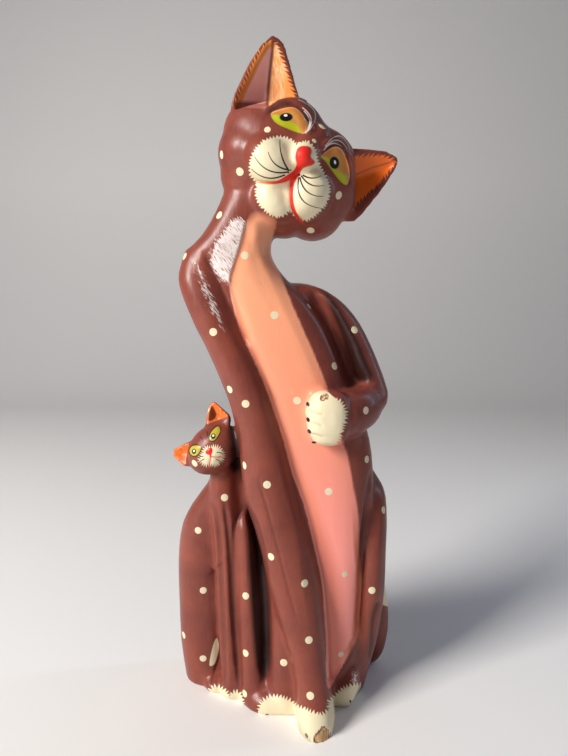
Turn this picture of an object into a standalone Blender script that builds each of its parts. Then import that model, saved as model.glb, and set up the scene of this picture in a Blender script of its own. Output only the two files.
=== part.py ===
"""A tall seated cat with a kitten at its side, carved from one block of wood.

X runs to the viewer's right, Y to the back and Z up, in metres. The carving is a free form, so each of
its stations and sizes below is a share of the height, counted in units of HEIGHT / UNITS_TALL.
"""
import bpy
import bmesh
import math
import numpy as np
from mathutils import Vector

# Driving dimensions
HEIGHT = 0.600
UNITS_TALL = 590.5
UNIT = HEIGHT / UNITS_TALL
GRAIN = 2.0
SMOOTHING_ROUNDS = 4
FACE_SMOOTHING_ROUNDS = 9
GROOVE_SMOOTHING_ROUNDS = 2
TRIANGLE_LIMIT = 10300
HEAD_REACH = 60.0
KITTEN_HEAD_REACH = 42.0
STEPS_BETWEEN_STATIONS = 6
POINTS_ROUND_A_RING = 32
DOME_RINGS = 5
DOME_SHARE = 0.6
GROOVE_FADE = 0.12
SHARP_EDGE = math.radians(50.0)

# Paint
BROWN = (0.155, 0.050, 0.035, 1.0)
PAINT_ROUGHNESS = 0.3

# Head: its centre and how it is turned
HEAD_CENTRE = Vector((2.0, -4.0, 484.0))
HEAD_ROLL = math.radians(39.0)
HEAD_YAW = math.radians(12.0)

# Kitten's head: rolled the other way
KITTEN_HEAD_CENTRE = Vector((-64.0, -6.0, 244.0))
KITTEN_ROLL = math.radians(-45.0)
KITTEN_YAW = math.radians(-4.0)

# Ears, as right and up of the head's centre
EAR_FACE = 5.0
EAR_LEAN = 9.0
EAR_RIM = 5.0
EAR_THICK = 15.0
EAR_HOLLOW = 12.0
TOP_EAR = [
    (-50, -4), (-66, 6), (-71, 15), (-75, 31), (-78, 48), (-79, 64), (-77, 75), (-71, 77), (-64, 74),
    (-57, 69), (-49, 63), (-40, 57), (-30, 51), (-22, 44),
]
TOP_BASE = [(-63, 7), (-32, 49)]
TOP_VALLEY = [(-47, 27, 1.0), (-57, 45, 0.9), (-70, 66, 0.3)]
SIDE_EAR = [
    (22, 46), (30, 52), (37, 58), (46, 65), (56, 72), (63, 75), (69, 76), (73, 72), (75, 62), (76, 48),
    (76, 32), (75, 12), (70, 3), (54, -6),
]
SIDE_BASE = [(33, 49), (69, 14)]
SIDE_VALLEY = [(49, 33, 1.0), (59, 49, 0.9), (71, 68, 0.3)]
KITTEN_TOP_EAR = [(2, 14), (9, 18), (17, 25), (24, 28), (28, 27), (29, 20), (30, 12), (29, 5), (22, 0)]
KITTEN_TOP_BASE = [(10, 16), (27, 6)]
KITTEN_TOP_VALLEY = [(19, 12, 1.0), (25, 22, 0.7)]
KITTEN_SIDE_EAR = [
    (-6, 14), (-12, 16), (-22, 19), (-30, 22), (-34, 21), (-36, 17), (-35, 11), (-33, 3), (-26, -1),
]
KITTEN_SIDE_BASE = [(-15, 15), (-30, 4)]
KITTEN_SIDE_VALLEY = [(-23, 10, 1.0), (-31, 17, 0.7)]
KITTEN_EAR_RIM = 2.0
KITTEN_EAR_THICK = 8.0
KITTEN_EAR_HOLLOW = 4.0
EAR_BACK_INSET = 0.9
EAR_THINNING = 0.6
EAR_BACK_SWELL = 1.35
HOLLOW_REACH = 40.0

# Grooves in the front, each a line of across and height points, then its depth, its half width and
# how far back the skin that it sinks into can lie
GROOVES = [
    ([(-66, 414), (-55, 389), (-41, 358), (-30, 332)], 5, 7, 0),
    ([(20, 382), (37, 361), (51, 333), (61, 308), (72, 297)], 13, 11, 20),
    ([(-33, 184), (-23, 149), (-17, 101), (-15, 24)], 6, 6, 20),
    ([(-66, 190), (-60, 171), (-59, 146), (-58, 97), (-56, 6)], 3, 5, 20),
    ([(-55, 190), (-50, 155), (-48, 99), (-43, 9)], 2, 3, 20),
    ([(77, 200), (72, 151), (70, 128), (68, 60)], 5, 6, 10),
]


def turned_axes(roll, yaw):
    """Right, up and forward of a head that is rolled clockwise and then turned to the viewer's right."""
    flat_right = Vector((math.cos(roll), 0.0, -math.sin(roll)))
    up = Vector((math.sin(roll), 0.0, math.cos(roll)))
    front = Vector((0.0, -1.0, 0.0))
    right = flat_right * math.cos(yaw) - front * math.sin(yaw)
    forward = front * math.cos(yaw) + flat_right * math.sin(yaw)
    return right, up, forward


def in_head(centre, axes, along):
    """A point given as right, up and forward of a head's centre."""
    right, up, forward = axes
    return centre + right * along[0] + up * along[1] + forward * along[2]


def through(stations):
    """A smooth run of stations through the given ones."""
    rows = np.array(stations, dtype=float)
    padded = np.vstack([2 * rows[0] - rows[1], rows, 2 * rows[-1] - rows[-2]])
    result = []
    for index in range(len(rows) - 1):
        before, start, end, after = padded[index:index + 4]
        for step in range(STEPS_BETWEEN_STATIONS):
            t = step / STEPS_BETWEEN_STATIONS
            bend = 2 * before - 5 * start + 4 * end - after
            twist = 3 * start - before - 3 * end + after
            result.append(0.5 * (2 * start + (end - before) * t + bend * t ** 2 + twist * t ** 3))
    result.append(rows[-1])
    return result


def loft(bm, stations, across=(1.0, 0.0, 0.0), level=True, square=2.2):
    """A closed form through oval rings, each given as x, y, z, half width and half depth."""
    rows = through(stations)
    rings = []
    for index, row in enumerate(rows):
        ahead = rows[min(index + 1, len(rows) - 1)][:3]
        behind = rows[max(index - 1, 0)][:3]
        along = Vector(ahead - behind).normalized()
        if level:
            along = Vector((0.0, 0.0, 1.0 if along.z >= 0 else -1.0))
        side = Vector(across)
        side = (side - along * side.dot(along)).normalized()
        back = along.cross(side)
        rings.append((Vector(row[:3]), along, side, back, max(row[3], 0.5), max(row[4], 0.5)))
    first, last = rings[0], rings[-1]
    domed = []
    for ring, sign in ((first, -1.0), (last, 1.0)):
        centre, along, side, back, wide, deep = ring
        reach = DOME_SHARE * min(wide, deep)
        dome = []
        for step in range(1, DOME_RINGS + 1):
            angle = 0.5 * math.pi * step / (DOME_RINGS + 0.4)
            shrink = math.cos(angle)
            place = centre + along * (sign * reach * math.sin(angle))
            dome.append((place, along, side, back, wide * shrink, deep * shrink))
        domed.append(dome)
    rings = list(reversed(domed[0])) + rings + domed[1]
    loops = []
    for centre, along, side, back, wide, deep in rings:
        loop = []
        for step in range(POINTS_ROUND_A_RING):
            angle = 2 * math.pi * step / POINTS_ROUND_A_RING
            cos, sin = math.cos(angle), math.sin(angle)
            reach_side = math.copysign(abs(cos) ** (2 / square), cos) * wide
            reach_back = math.copysign(abs(sin) ** (2 / square), sin) * deep
            loop.append(bm.verts.new((centre + side * reach_side + back * reach_back) * UNIT))
        loops.append(loop)
    faces = []
    for lower, upper in zip(loops, loops[1:]):
        for step in range(POINTS_ROUND_A_RING):
            following = (step + 1) % POINTS_ROUND_A_RING
            faces.append(bm.faces.new((lower[step], lower[following], upper[following], upper[step])))
    faces.append(bm.faces.new(list(reversed(loops[0]))))
    faces.append(bm.faces.new(loops[-1]))
    bmesh.ops.recalc_face_normals(bm, faces=faces)


def lump(bm, centre, half, axes=None):
    """An egg-shaped swelling, along the world's axes or a head's."""
    made = bmesh.ops.create_uvsphere(bm, u_segments=32, v_segments=20, radius=1.0)
    if axes is None:
        axes = (Vector((1, 0, 0)), Vector((0, 1, 0)), Vector((0, 0, 1)))
    for vert in made["verts"]:
        here = vert.co.copy()
        place = Vector(centre)
        for axis, reach, share in zip(axes, half, here):
            place += axis * (reach * share)
        vert.co = place * UNIT
    faces = {face for vert in made["verts"] for face in vert.link_faces}
    bmesh.ops.recalc_face_normals(bm, faces=list(faces))


def make_body(bm):
    """Neck, trunk, haunches, legs, feet and tail of the tall cat."""
    trunk = [
        (20, 18, -14, 50, 42), (23, 16, 60, 52, 42), (28, 12, 130, 53, 40), (30, 9, 200, 53, 37),
        (23, 8, 250, 55, 36), (7, 6, 300, 53, 35), (-12, 5, 340, 56, 34), (-30, 4, 370, 55, 33),
        (-43, 3, 392, 45, 32), (-49, 2, 412, 38, 31), (-40, 0, 430, 31, 30), (-28, -1, 450, 31, 29),
        (-11, -2, 475, 37, 28),
    ]
    loft(bm, trunk, square=2.6)
    foreleg = [
        (-73, -2, 412, 15, 20), (-74, -4, 389, 18, 25), (-61, -7, 356, 19, 27), (-48, -9, 330, 19, 28),
        (-35, -10, 302, 20, 29), (-26, -10, 275, 20, 29), (-18, -11, 240, 22, 29), (-11, -13, 200, 24, 30),
        (1, -16, 160, 24, 29), (9, -18, 125, 24, 29), (16, -22, 90, 21, 28), (23, -27, 55, 17, 25),
        (27, -34, 25, 16, 25), (28, -39, 8, 17, 28), (29, -40, -12, 16, 27),
    ]
    loft(bm, foreleg, square=2.4)
    web = [(2, -2, 120, 16, 26), (2, -6, 60, 16, 26), (2, -8, 20, 17, 26), (2, -8, -12, 17, 26)]
    loft(bm, web)
    filling = [
        (-40, 20, 250, 8, 8), (-42, 20, 225, 15, 15), (-40, 22, 190, 20, 22), (-38, 27, 150, 26, 27),
        (-36, 30, 80, 30, 28), (-36, 30, -12, 30, 27),
    ]
    loft(bm, filling)
    shin = [
        (-37, 14, 176, 6, 20), (-36, 13, 160, 10, 25), (-34, 13, 120, 12, 27), (-32, 12, 80, 13, 29),
        (-30, 10, 40, 14, 30), (-29, 8, 12, 15, 31), (-29, 8, -12, 15, 31),
    ]
    loft(bm, shin)
    lump(bm, (-12, -10, 4), (27, 24, 17))
    haunch = [
        (78, 24, 210, 9, 15), (82, 22, 194, 14, 24), (83, 20, 170, 15, 30), (81, 18, 140, 16, 34),
        (80, 18, 100, 16, 35), (77, 20, 60, 15, 33), (71, 24, 24, 14, 30), (67, 27, 0, 13, 28),
        (66, 27, -12, 12, 26),
    ]
    loft(bm, haunch)
    hind_foot = [(62, 14, 12, 13, 30), (58, -3, 12, 13, 28), (52, -17, 8, 12, 19)]
    loft(bm, hind_foot, across=(0.8, 0.6, 0.0), level=False)
    tail = [
        (30, 52, 10, 12, 12), (62, 54, 10, 12, 12), (88, 50, 10, 11, 11), (96, 46, 34, 10, 11),
        (97, 45, 62, 9, 10), (95, 44, 90, 6, 8), (94, 43, 101, 3, 5),
    ]
    loft(bm, tail, across=(0.6, -0.8, 0.0), level=False)
    upper_arm = [
        (-8, 10, 371, 16, 18), (16, 10, 373, 16, 19), (37, 9, 364, 16, 19), (54, 8, 346, 16, 18),
        (68, 6, 318, 16, 18), (76, 3, 295, 16, 18), (77, 0, 282, 16, 17),
    ]
    loft(bm, upper_arm, across=(0.0, 0.0, 1.0), level=False)
    forearm = [(77, 4, 281, 17, 14), (70, -12, 279, 19, 15), (58, -26, 276, 20, 14), (44, -34, 274, 20, 12)]
    loft(bm, forearm, across=(0.0, 0.0, 1.0), level=False)
    chest_paw = [(36, -37, 257, 15, 12), (35, -38, 266, 18, 14), (35, -38, 282, 18, 14), (36, -37, 291, 15, 12)]
    loft(bm, chest_paw, square=2.6)


def make_head(bm, axes):
    """Skull, cheeks, muzzle, nose and brows."""

    def swelling(along, half):
        lump(bm, in_head(HEAD_CENTRE, axes, along), half, axes)

    swelling((0, 7, -2), (67, 44, 42))
    swelling((-16, 18, -3), (36, 37, 34))
    swelling((20, 18, -3), (36, 37, 34))
    swelling((-33, -10, 0), (27, 27, 32))
    swelling((-23, -24, -2), (24, 24, 27))
    swelling((38, -9, 0), (28, 28, 32))
    swelling((13, -18, 6), (34, 30, 30))
    swelling((23, -26, 3), (20, 24, 26))
    swelling((-16, -8, 29), (23, 19, 20))
    swelling((24, -8, 29), (19, 22, 20))
    swelling((7, -31, 23), (21, 14, 18))
    swelling((1, 8, 43), (9, 8, 10))
    bridge = [(1, 34, 24), (1, 22, 31), (1, 10, 40)]
    left_brow = [(-46, 18, 20), (-38, 28, 25), (-23, 33, 29), (-10, 29, 33), (-6, 18, 36)]
    right_brow = [(48, 20, 20), (40, 31, 24), (26, 36, 27), (13, 31, 32), (8, 20, 36)]
    for ridge, thick in ((bridge, 11), (left_brow, 5), (right_brow, 5)):
        places = [in_head(HEAD_CENTRE, axes, place) for place in ridge]
        loft(bm, [(*place, thick, thick) for place in places], across=axes[2], level=False)


def make_kitten(bm, axes):
    """Kitten sitting against the cat's flank."""
    body = [
        (-57, 12, 226, 12, 14), (-58, 13, 208, 12, 15), (-64, 18, 194, 14, 18), (-72, 24, 175, 19, 22),
        (-77, 29, 154, 23, 25), (-80, 32, 123, 24, 26), (-80, 32, 80, 24, 26), (-79, 32, 40, 24, 26),
        (-77, 32, 12, 23, 24), (-75, 32, -12, 21, 23),
    ]
    loft(bm, body)
    chest = [
        (-57, 8, 218, 12, 13), (-56, 5, 190, 13, 15), (-54, 3, 160, 12, 14), (-53, 3, 120, 11, 14),
        (-51, 3, 60, 11, 14), (-49, 2, 20, 11, 14), (-49, 2, -12, 11, 14),
    ]
    loft(bm, chest)
    lump(bm, (-66, 14, 4), (13, 18, 9))
    lump(bm, (-50, 4, 4), (10, 12, 8))

    def swelling(along, half):
        lump(bm, in_head(KITTEN_HEAD_CENTRE, axes, along), half, axes)

    swelling((-3, -3, 0), (27, 21, 20))
    swelling((-1, -6, 12), (12, 9, 9))


def add_ear(cat, name, centre, axes, outline, base, valley, rim, thick, hollow):
    """Grow a pointed ear with a hollow, creased inner face; points are right and up of the head's centre."""
    points = [row[:2] for row in through([(a, b, 0, 0, 0) for a, b in outline])]
    middle = sum((Vector((a, b)) for a, b in points), Vector((0.0, 0.0))) / len(points)
    low = min(b for a, b in points)
    high = max(b for a, b in points)

    def rise(b):
        return (b - low) / (high - low)

    def front(b):
        return EAR_FACE - EAR_LEAN * rise(b)

    def body_of(name, places):
        bm = bmesh.new()
        for place in places:
            bm.verts.new(in_head(centre, axes, place) * UNIT)
        made = bmesh.ops.convex_hull(bm, input=bm.verts[:])
        spare = [item for item in made["geom_interior"] if isinstance(item, bmesh.types.BMVert)]
        bmesh.ops.delete(bm, geom=spare, context="VERTS")
        bmesh.ops.recalc_face_normals(bm, faces=bm.faces[:])
        mesh = bpy.data.meshes.new(name)
        bm.to_mesh(mesh)
        bm.free()
        thing = bpy.data.objects.new(name, mesh)
        bpy.context.scene.collection.objects.link(thing)
        return thing

    solid = [(a, b, front(b)) for a, b in points]
    for a, b in points:
        inward = (Vector((a, b)) - middle) * EAR_BACK_INSET + middle
        solid.append((inward.x, inward.y, front(b) - thick * (1.0 - EAR_THINNING * rise(b))))
    solid.append((middle.x, middle.y, front(middle.y) - EAR_BACK_SWELL * thick))
    ear = body_of(name, solid)
    start, end = Vector(base[0]), Vector(base[1])
    outward = Vector((start.y - end.y, end.x - start.x)).normalized()
    if outward.dot(middle - start) < 0:
        outward = -outward
    hollow_points = [start, end]
    for a, b in points:
        away = Vector((a, b)) - middle
        inside = middle + away * (1.0 - rim / away.length)
        if outward.dot(inside - start) > 0:
            hollow_points.append(inside)
    cutter_points = []
    for place in hollow_points:
        cutter_points.append((place.x, place.y, front(place.y) + 0.2))
        cutter_points.append((place.x, place.y, front(place.y) + HOLLOW_REACH))
    for a, b, share in valley:
        cutter_points.append((a, b, front(b) - hollow * share))
    cutter = body_of(name + " hollow", cutter_points)
    cat = boolean(cat, ear, "UNION")
    return boolean(cat, cutter, "DIFFERENCE")


def boolean(thing, other, operation):
    """Join or cut one object with another and keep only the result."""
    step = thing.modifiers.new("step", "BOOLEAN")
    step.operation = operation
    step.solver = "EXACT"
    step.object = other
    keep_shape(thing)
    bpy.data.objects.remove(other, do_unlink=True)
    return thing


def keep_shape(thing):
    """Replace an object's mesh with what its modifiers make of it."""
    bpy.context.view_layer.update()
    depsgraph = bpy.context.evaluated_depsgraph_get()
    mesh = bpy.data.meshes.new_from_object(thing.evaluated_get(depsgraph))
    thing.modifiers.clear()
    thing.data = mesh


def carve(mesh, line, depth, reach, behind):
    """Sink a groove along a line of across and height points, in the skin that faces the front."""
    count = len(mesh.vertices)
    places = np.empty(count * 3)
    mesh.vertices.foreach_get("co", places)
    places = places.reshape(count, 3) / UNIT
    normals = np.empty(count * 3)
    mesh.vertices.foreach_get("normal", normals)
    normals = normals.reshape(count, 3)
    seen = places[:, [0, 2]]
    nearest = np.full(count, 1e9)
    along = np.zeros(count)
    rows = np.array([row[:2] for row in through([(x, z, 0, 0, 0) for x, z in line])])
    for index in range(len(rows) - 1):
        start, end = rows[index], rows[index + 1]
        span = end - start
        share = np.clip(((seen - start) @ span) / (span @ span), 0.0, 1.0)
        distance = np.linalg.norm(seen - (start + share[:, None] * span), axis=1)
        closer = distance < nearest
        nearest[closer] = distance[closer]
        along[closer] = (index + share[closer]) / (len(rows) - 1)
    fall = np.clip(1.0 - nearest / reach, 0.0, 1.0)
    fall = fall * fall * (3.0 - 2.0 * fall)
    ends = np.clip(np.minimum(along, 1.0 - along) / GROOVE_FADE, 0.0, 1.0)
    facing = np.clip(-normals[:, 1] * 3.0, 0.0, 1.0) * (places[:, 1] < behind)
    moved = places + np.array([0.0, 1.0, 0.0]) * (depth * fall * ends * facing)[:, None]
    mesh.vertices.foreach_set("co", (moved * UNIT).ravel())
    mesh.update()


def corners(mesh):
    """The lowest and the highest corner of a mesh's box."""
    places = np.empty(len(mesh.vertices) * 3)
    mesh.vertices.foreach_get("co", places)
    places = places.reshape(-1, 3)
    return Vector(places.min(axis=0)), Vector(places.max(axis=0))


def mark_faces(thing, name):
    """Gather the points of the two heads in a vertex group."""
    group = thing.vertex_groups.new(name=name)
    for vert in thing.data.vertices:
        place = vert.co / UNIT
        on_head = place.z > HEAD_CENTRE.z - HEAD_REACH
        on_kitten = (place - KITTEN_HEAD_CENTRE).length < KITTEN_HEAD_REACH
        if on_head or on_kitten:
            group.add([vert.index], 1.0, "REPLACE")


def painted(mesh):
    """Give the mesh its brown gloss paint, shaded smooth but for its sharp edges."""
    paint = bpy.data.materials.new("painted_wood")
    paint.use_nodes = True
    shader = paint.node_tree.nodes["Principled BSDF"]
    shader.inputs["Base Color"].default_value = BROWN
    shader.inputs["Roughness"].default_value = PAINT_ROUGHNESS
    shader.inputs["Metallic"].default_value = 0.0
    mesh.materials.clear()
    mesh.materials.append(paint)
    mesh.shade_smooth()
    mesh.set_sharp_from_angle(angle=SHARP_EDGE)


def box(name, low, high):
    """A plain block between two corners."""
    bm = bmesh.new()
    bmesh.ops.create_cube(bm, size=1.0)
    for vert in bm.verts:
        for axis in range(3):
            vert.co[axis] = UNIT * (low[axis] if vert.co[axis] < 0 else high[axis])
    mesh = bpy.data.meshes.new(name)
    bm.to_mesh(mesh)
    bm.free()
    thing = bpy.data.objects.new(name, mesh)
    bpy.context.scene.collection.objects.link(thing)
    return thing


def main():
    for thing in list(bpy.data.objects):
        bpy.data.objects.remove(thing, do_unlink=True)
    head_axes = turned_axes(HEAD_ROLL, HEAD_YAW)
    kitten_axes = turned_axes(KITTEN_ROLL, KITTEN_YAW)
    bm = bmesh.new()
    make_body(bm)
    make_head(bm, head_axes)
    make_kitten(bm, kitten_axes)
    mesh = bpy.data.meshes.new("cat_and_kitten")
    bm.to_mesh(mesh)
    bm.free()
    cat = bpy.data.objects.new("cat_and_kitten", mesh)
    bpy.context.scene.collection.objects.link(cat)

    # One skin over all the forms, softened as by sanding and thick paint
    remesh = cat.modifiers.new("one skin", "REMESH")
    remesh.mode = "VOXEL"
    remesh.voxel_size = GRAIN * UNIT
    smooth = cat.modifiers.new("soft edges", "SMOOTH")
    smooth.iterations = SMOOTHING_ROUNDS
    keep_shape(cat)
    mark_faces(cat, "face")
    smooth = cat.modifiers.new("soft face", "SMOOTH")
    smooth.iterations = FACE_SMOOTHING_ROUNDS
    smooth.vertex_group = "face"
    keep_shape(cat)
    for line, depth, reach, behind in GROOVES:
        carve(cat.data, line, depth, reach, behind)
    settle = cat.modifiers.new("worn grooves", "SMOOTH")
    settle.iterations = GROOVE_SMOOTHING_ROUNDS
    keep_shape(cat)

    # Ears
    big = (EAR_RIM, EAR_THICK, EAR_HOLLOW)
    small = (KITTEN_EAR_RIM, KITTEN_EAR_THICK, KITTEN_EAR_HOLLOW)
    cat = add_ear(cat, "top ear", HEAD_CENTRE, head_axes, TOP_EAR, TOP_BASE, TOP_VALLEY, *big)
    cat = add_ear(cat, "side ear", HEAD_CENTRE, head_axes, SIDE_EAR, SIDE_BASE, SIDE_VALLEY, *big)
    kitten = (KITTEN_HEAD_CENTRE, kitten_axes)
    cat = add_ear(cat, "kitten top ear", *kitten, KITTEN_TOP_EAR, KITTEN_TOP_BASE, KITTEN_TOP_VALLEY, *small)
    cat = add_ear(cat, "kitten side ear", *kitten, KITTEN_SIDE_EAR, KITTEN_SIDE_BASE, KITTEN_SIDE_VALLEY, *small)

    # Fewer facets, then the flat underside
    fewer = cat.modifiers.new("fewer facets", "DECIMATE")
    triangles = sum(len(face.vertices) - 2 for face in cat.data.polygons)
    fewer.ratio = TRIANGLE_LIMIT / triangles
    keep_shape(cat)
    low, high = corners(cat.data)
    wide, deep, tall = (high - low) / UNIT
    below = box("below the underside", (-wide, -deep, -tall), (wide, deep, 0.0))
    cat = boolean(cat, below, "DIFFERENCE")

    # Middle of the bounding box over the origin
    bm = bmesh.new()
    bm.from_mesh(cat.data)
    bmesh.ops.triangulate(bm, faces=bm.faces[:])
    low, high = corners(cat.data)
    middle = Vector(((low.x + high.x) / 2, (low.y + high.y) / 2, 0.0))
    bmesh.ops.translate(bm, vec=-middle, verts=bm.verts[:])
    bm.to_mesh(cat.data)
    bm.free()
    painted(cat.data)
    print("middle", middle / UNIT, "top", high.z / UNIT, "triangles", len(cat.data.polygons))


main()
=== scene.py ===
# %% [markdown]
# # A carved and painted wooden cat
#
# The real object is one block of light wood, carved into a tall seated cat with a kitten at its side,
# brushed all over with glossy brown paint, and then decorated by hand: a pink strip down the chest,
# cream paws and muzzle with a nicked edge, dabbed dots, and a face drawn with a fine brush.
#
# The CAD solid gives the outline and the pose. This lesson copies it as one fine skin, works the small
# carving into that skin, marks on it where each paint lies, and paints it with one procedural material.

# %% The frame and the tools
import bmesh
import bpy
import math
import numpy as np
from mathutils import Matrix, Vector


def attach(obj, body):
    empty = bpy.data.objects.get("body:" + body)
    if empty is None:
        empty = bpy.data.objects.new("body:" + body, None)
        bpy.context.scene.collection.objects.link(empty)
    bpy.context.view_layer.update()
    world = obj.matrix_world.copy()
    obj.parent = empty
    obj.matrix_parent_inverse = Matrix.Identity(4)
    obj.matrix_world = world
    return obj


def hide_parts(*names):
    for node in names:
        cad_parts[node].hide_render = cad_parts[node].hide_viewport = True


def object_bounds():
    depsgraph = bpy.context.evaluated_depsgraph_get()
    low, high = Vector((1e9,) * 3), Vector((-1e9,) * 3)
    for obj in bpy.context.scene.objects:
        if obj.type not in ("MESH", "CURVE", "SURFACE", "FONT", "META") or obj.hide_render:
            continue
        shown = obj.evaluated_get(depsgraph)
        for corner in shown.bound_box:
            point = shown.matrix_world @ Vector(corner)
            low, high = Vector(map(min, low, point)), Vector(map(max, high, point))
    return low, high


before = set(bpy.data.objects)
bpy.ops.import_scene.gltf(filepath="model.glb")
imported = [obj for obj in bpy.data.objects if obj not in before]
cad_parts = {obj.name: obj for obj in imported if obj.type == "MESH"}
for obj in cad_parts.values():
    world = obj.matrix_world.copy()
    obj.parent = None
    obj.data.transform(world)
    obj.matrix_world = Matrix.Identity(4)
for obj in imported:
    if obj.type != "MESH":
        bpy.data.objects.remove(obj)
cad_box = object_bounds()
print("CAD box", cad_box)

# %% [markdown]
# The camera comes first, because the decoration was painted by somebody who faced the cat, and it is
# easiest to lay out as flat drawings in the picture that the camera sees. `seen` says where a place of
# the carving falls in that picture, so a drawing can be cast straight back onto the wood. It is only a
# way to place the paint: what it gives is kept on the carving, and it holds from every side.

# %% The camera
PICTURE_WIDE = 568
PICTURE_TALL = 756
SENSOR_MM = 36.0
FOCAL_PIXELS = 568.0
EYE = Vector((-0.0016, -0.5195, 0.3633))
EYE_TILT = math.radians(84.0)

camera_data = bpy.data.cameras.new("camera")
camera_data.sensor_width = SENSOR_MM
camera_data.lens = SENSOR_MM * FOCAL_PIXELS / PICTURE_TALL
camera = bpy.data.objects.new("camera", camera_data)
camera.location = EYE
camera.rotation_euler = (EYE_TILT, 0.0, 0.0)
bpy.context.scene.collection.objects.link(camera)
bpy.context.scene.camera = camera

LOOK = np.array([0.0, math.sin(EYE_TILT), -math.cos(EYE_TILT)])
RISE = np.array([0.0, math.cos(EYE_TILT), math.sin(EYE_TILT)])


def seen(places):
    """Where each place falls in the picture, in pixels right of and below its top left corner."""
    away = places - np.array(EYE)
    depth = away @ LOOK
    right = PICTURE_WIDE / 2 + FOCAL_PIXELS * away[:, 0] / depth
    down = PICTURE_TALL / 2 - FOCAL_PIXELS * (away @ RISE) / depth
    return np.stack([right, down], axis=1)


print("lens", round(camera_data.lens, 2), "mm")

# %% [markdown]
# One fine skin. The CAD solid has flat facets. A copy of it is merged, wrapped in a fine voxel skin and
# smoothed: strongly on the body, where the carver's rasp left long even sweeps, and lightly on the
# faces, ears and paws, whose edges are crisp. Smoothing draws a skin in, so the body is smoothed twice
# and moved back by what the second time took off, and the coat of paint lets it all out a little.

# %% The fine skin
SKIN_GRAIN = 0.0013
BODY_ROUNDS = 40
FACE_ROUNDS = 3
FACE_SHARE = 0.45
LET_OUT = 0.0003
HEAD_MIDDLE = np.array([0.0055, -0.003, 0.492])
HEAD_REACH = 0.078
KITTEN_MIDDLE = np.array([-0.0685, -0.007, 0.248])
KITTEN_REACH = 0.046
PAW_MIDDLE = np.array([0.0345, -0.039, 0.279])
PAW_REACH = 0.030
FADE = 0.25
EARS_FROM = 0.50
EARS_FADE = 0.01


def read(mesh, what="co"):
    """The places or the normals of a mesh's points, one row each."""
    values = np.empty(len(mesh.vertices) * 3)
    mesh.vertices.foreach_get(what, values)
    return values.reshape(-1, 3)


def write(mesh, places):
    """Move a mesh's points."""
    mesh.vertices.foreach_set("co", places.ravel())
    mesh.update()


def settle(piece):
    """Make what the modifiers show the piece's own mesh."""
    bpy.context.view_layer.update()
    shown = piece.evaluated_get(bpy.context.evaluated_depsgraph_get())
    mesh = bpy.data.meshes.new_from_object(shown)
    piece.modifiers.clear()
    piece.data = mesh


def weigh(piece, name, weights):
    """A vertex group from one weight for each point."""
    group = piece.vertex_groups.get(name) or piece.vertex_groups.new(name=name)
    steps = np.round(np.clip(weights, 0.0, 1.0) * 20).astype(int)
    for step in np.unique(steps):
        group.add(np.where(steps == step)[0].tolist(), float(step) / 20, "REPLACE")


def soften(piece, rounds, weights):
    """Smooth a piece, more where its weights are higher, and say where its points then lie."""
    weigh(piece, "soften", weights)
    soft = piece.modifiers.new("soften", "SMOOTH")
    soft.iterations = rounds
    soft.vertex_group = "soften"
    settle(piece)
    return read(piece.data)


def closeness(places, middle, reach):
    """1 inside a ball, fading to 0 at a quarter more than its reach."""
    distance = np.linalg.norm(places - middle, axis=1)
    return np.clip(((1.0 + FADE) * reach - distance) / (FADE * reach), 0.0, 1.0)


def detailed(places):
    """1 on the faces, ears and chest paw, and 0 on the plain body."""
    head = closeness(places, HEAD_MIDDLE, HEAD_REACH)
    above = np.clip((places[:, 2] - EARS_FROM) / EARS_FADE, 0.0, 1.0)
    kitten = closeness(places, KITTEN_MIDDLE, KITTEN_REACH)
    paw = closeness(places, PAW_MIDDLE, PAW_REACH)
    return np.max([head, above, kitten, paw], axis=0)


def fine_skin(node, name):
    mesh = node.data.copy()
    bm = bmesh.new()
    bm.from_mesh(mesh)
    bmesh.ops.remove_doubles(bm, verts=bm.verts[:], dist=1e-6)
    bm.to_mesh(mesh)
    bm.free()
    piece = bpy.data.objects.new(name, mesh)
    bpy.context.scene.collection.objects.link(piece)
    wrap = piece.modifiers.new("wrap", "REMESH")
    wrap.mode = "VOXEL"
    wrap.voxel_size = SKIN_GRAIN
    settle(piece)
    body = 1.0 - detailed(read(piece.data))
    everywhere = np.maximum(body, FACE_SHARE)
    once = soften(piece, BODY_ROUNDS, everywhere)
    twice = soften(piece, BODY_ROUNDS, everywhere)
    write(piece.data, 2.0 * once - twice)
    places = soften(piece, FACE_ROUNDS, np.ones(len(body)))
    out = LET_OUT * (0.3 + 0.7 * body)
    write(piece.data, places + read(piece.data, "normal") * out[:, None])
    return piece


cat = fine_skin(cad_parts["cat_and_kitten"], "painted_cat")
print("skin points", len(cat.data.vertices))

# %% [markdown]
# Drawings. Every line and outline below is a short list of points in the picture, right and down in
# pixels. `curve` draws a smooth line through them, `near` measures how far each point of the skin lies
# from a line and how far along it, and `within` does the same for a closed outline, positive inside.
# Points far from a drawing are left out, because most of the skin is far from any one of them.

# %% Lines and outlines in the picture
STEPS_BETWEEN_POINTS = 4
FAR = 1e6
AWAY = -50.0
EDGE_REACH = 16.0


def curve(points, closed=False):
    """A smooth line through the points."""
    rows = np.array(points, dtype=float)
    if closed:
        padded = np.vstack([rows[-1], rows, rows[0], rows[1]])
    else:
        padded = np.vstack([2 * rows[0] - rows[1], rows, 2 * rows[-1] - rows[-2]])
    result = []
    for index in range(len(padded) - 3):
        before, start, end, after = padded[index:index + 4]
        for step in range(STEPS_BETWEEN_POINTS):
            t = step / STEPS_BETWEEN_POINTS
            bend = 2 * before - 5 * start + 4 * end - after
            twist = 3 * start - before - 3 * end + after
            result.append(0.5 * (2 * start + (end - before) * t + bend * t ** 2 + twist * t ** 3))
    result.append(result[0] if closed else rows[-1])
    return np.array(result)


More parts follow.
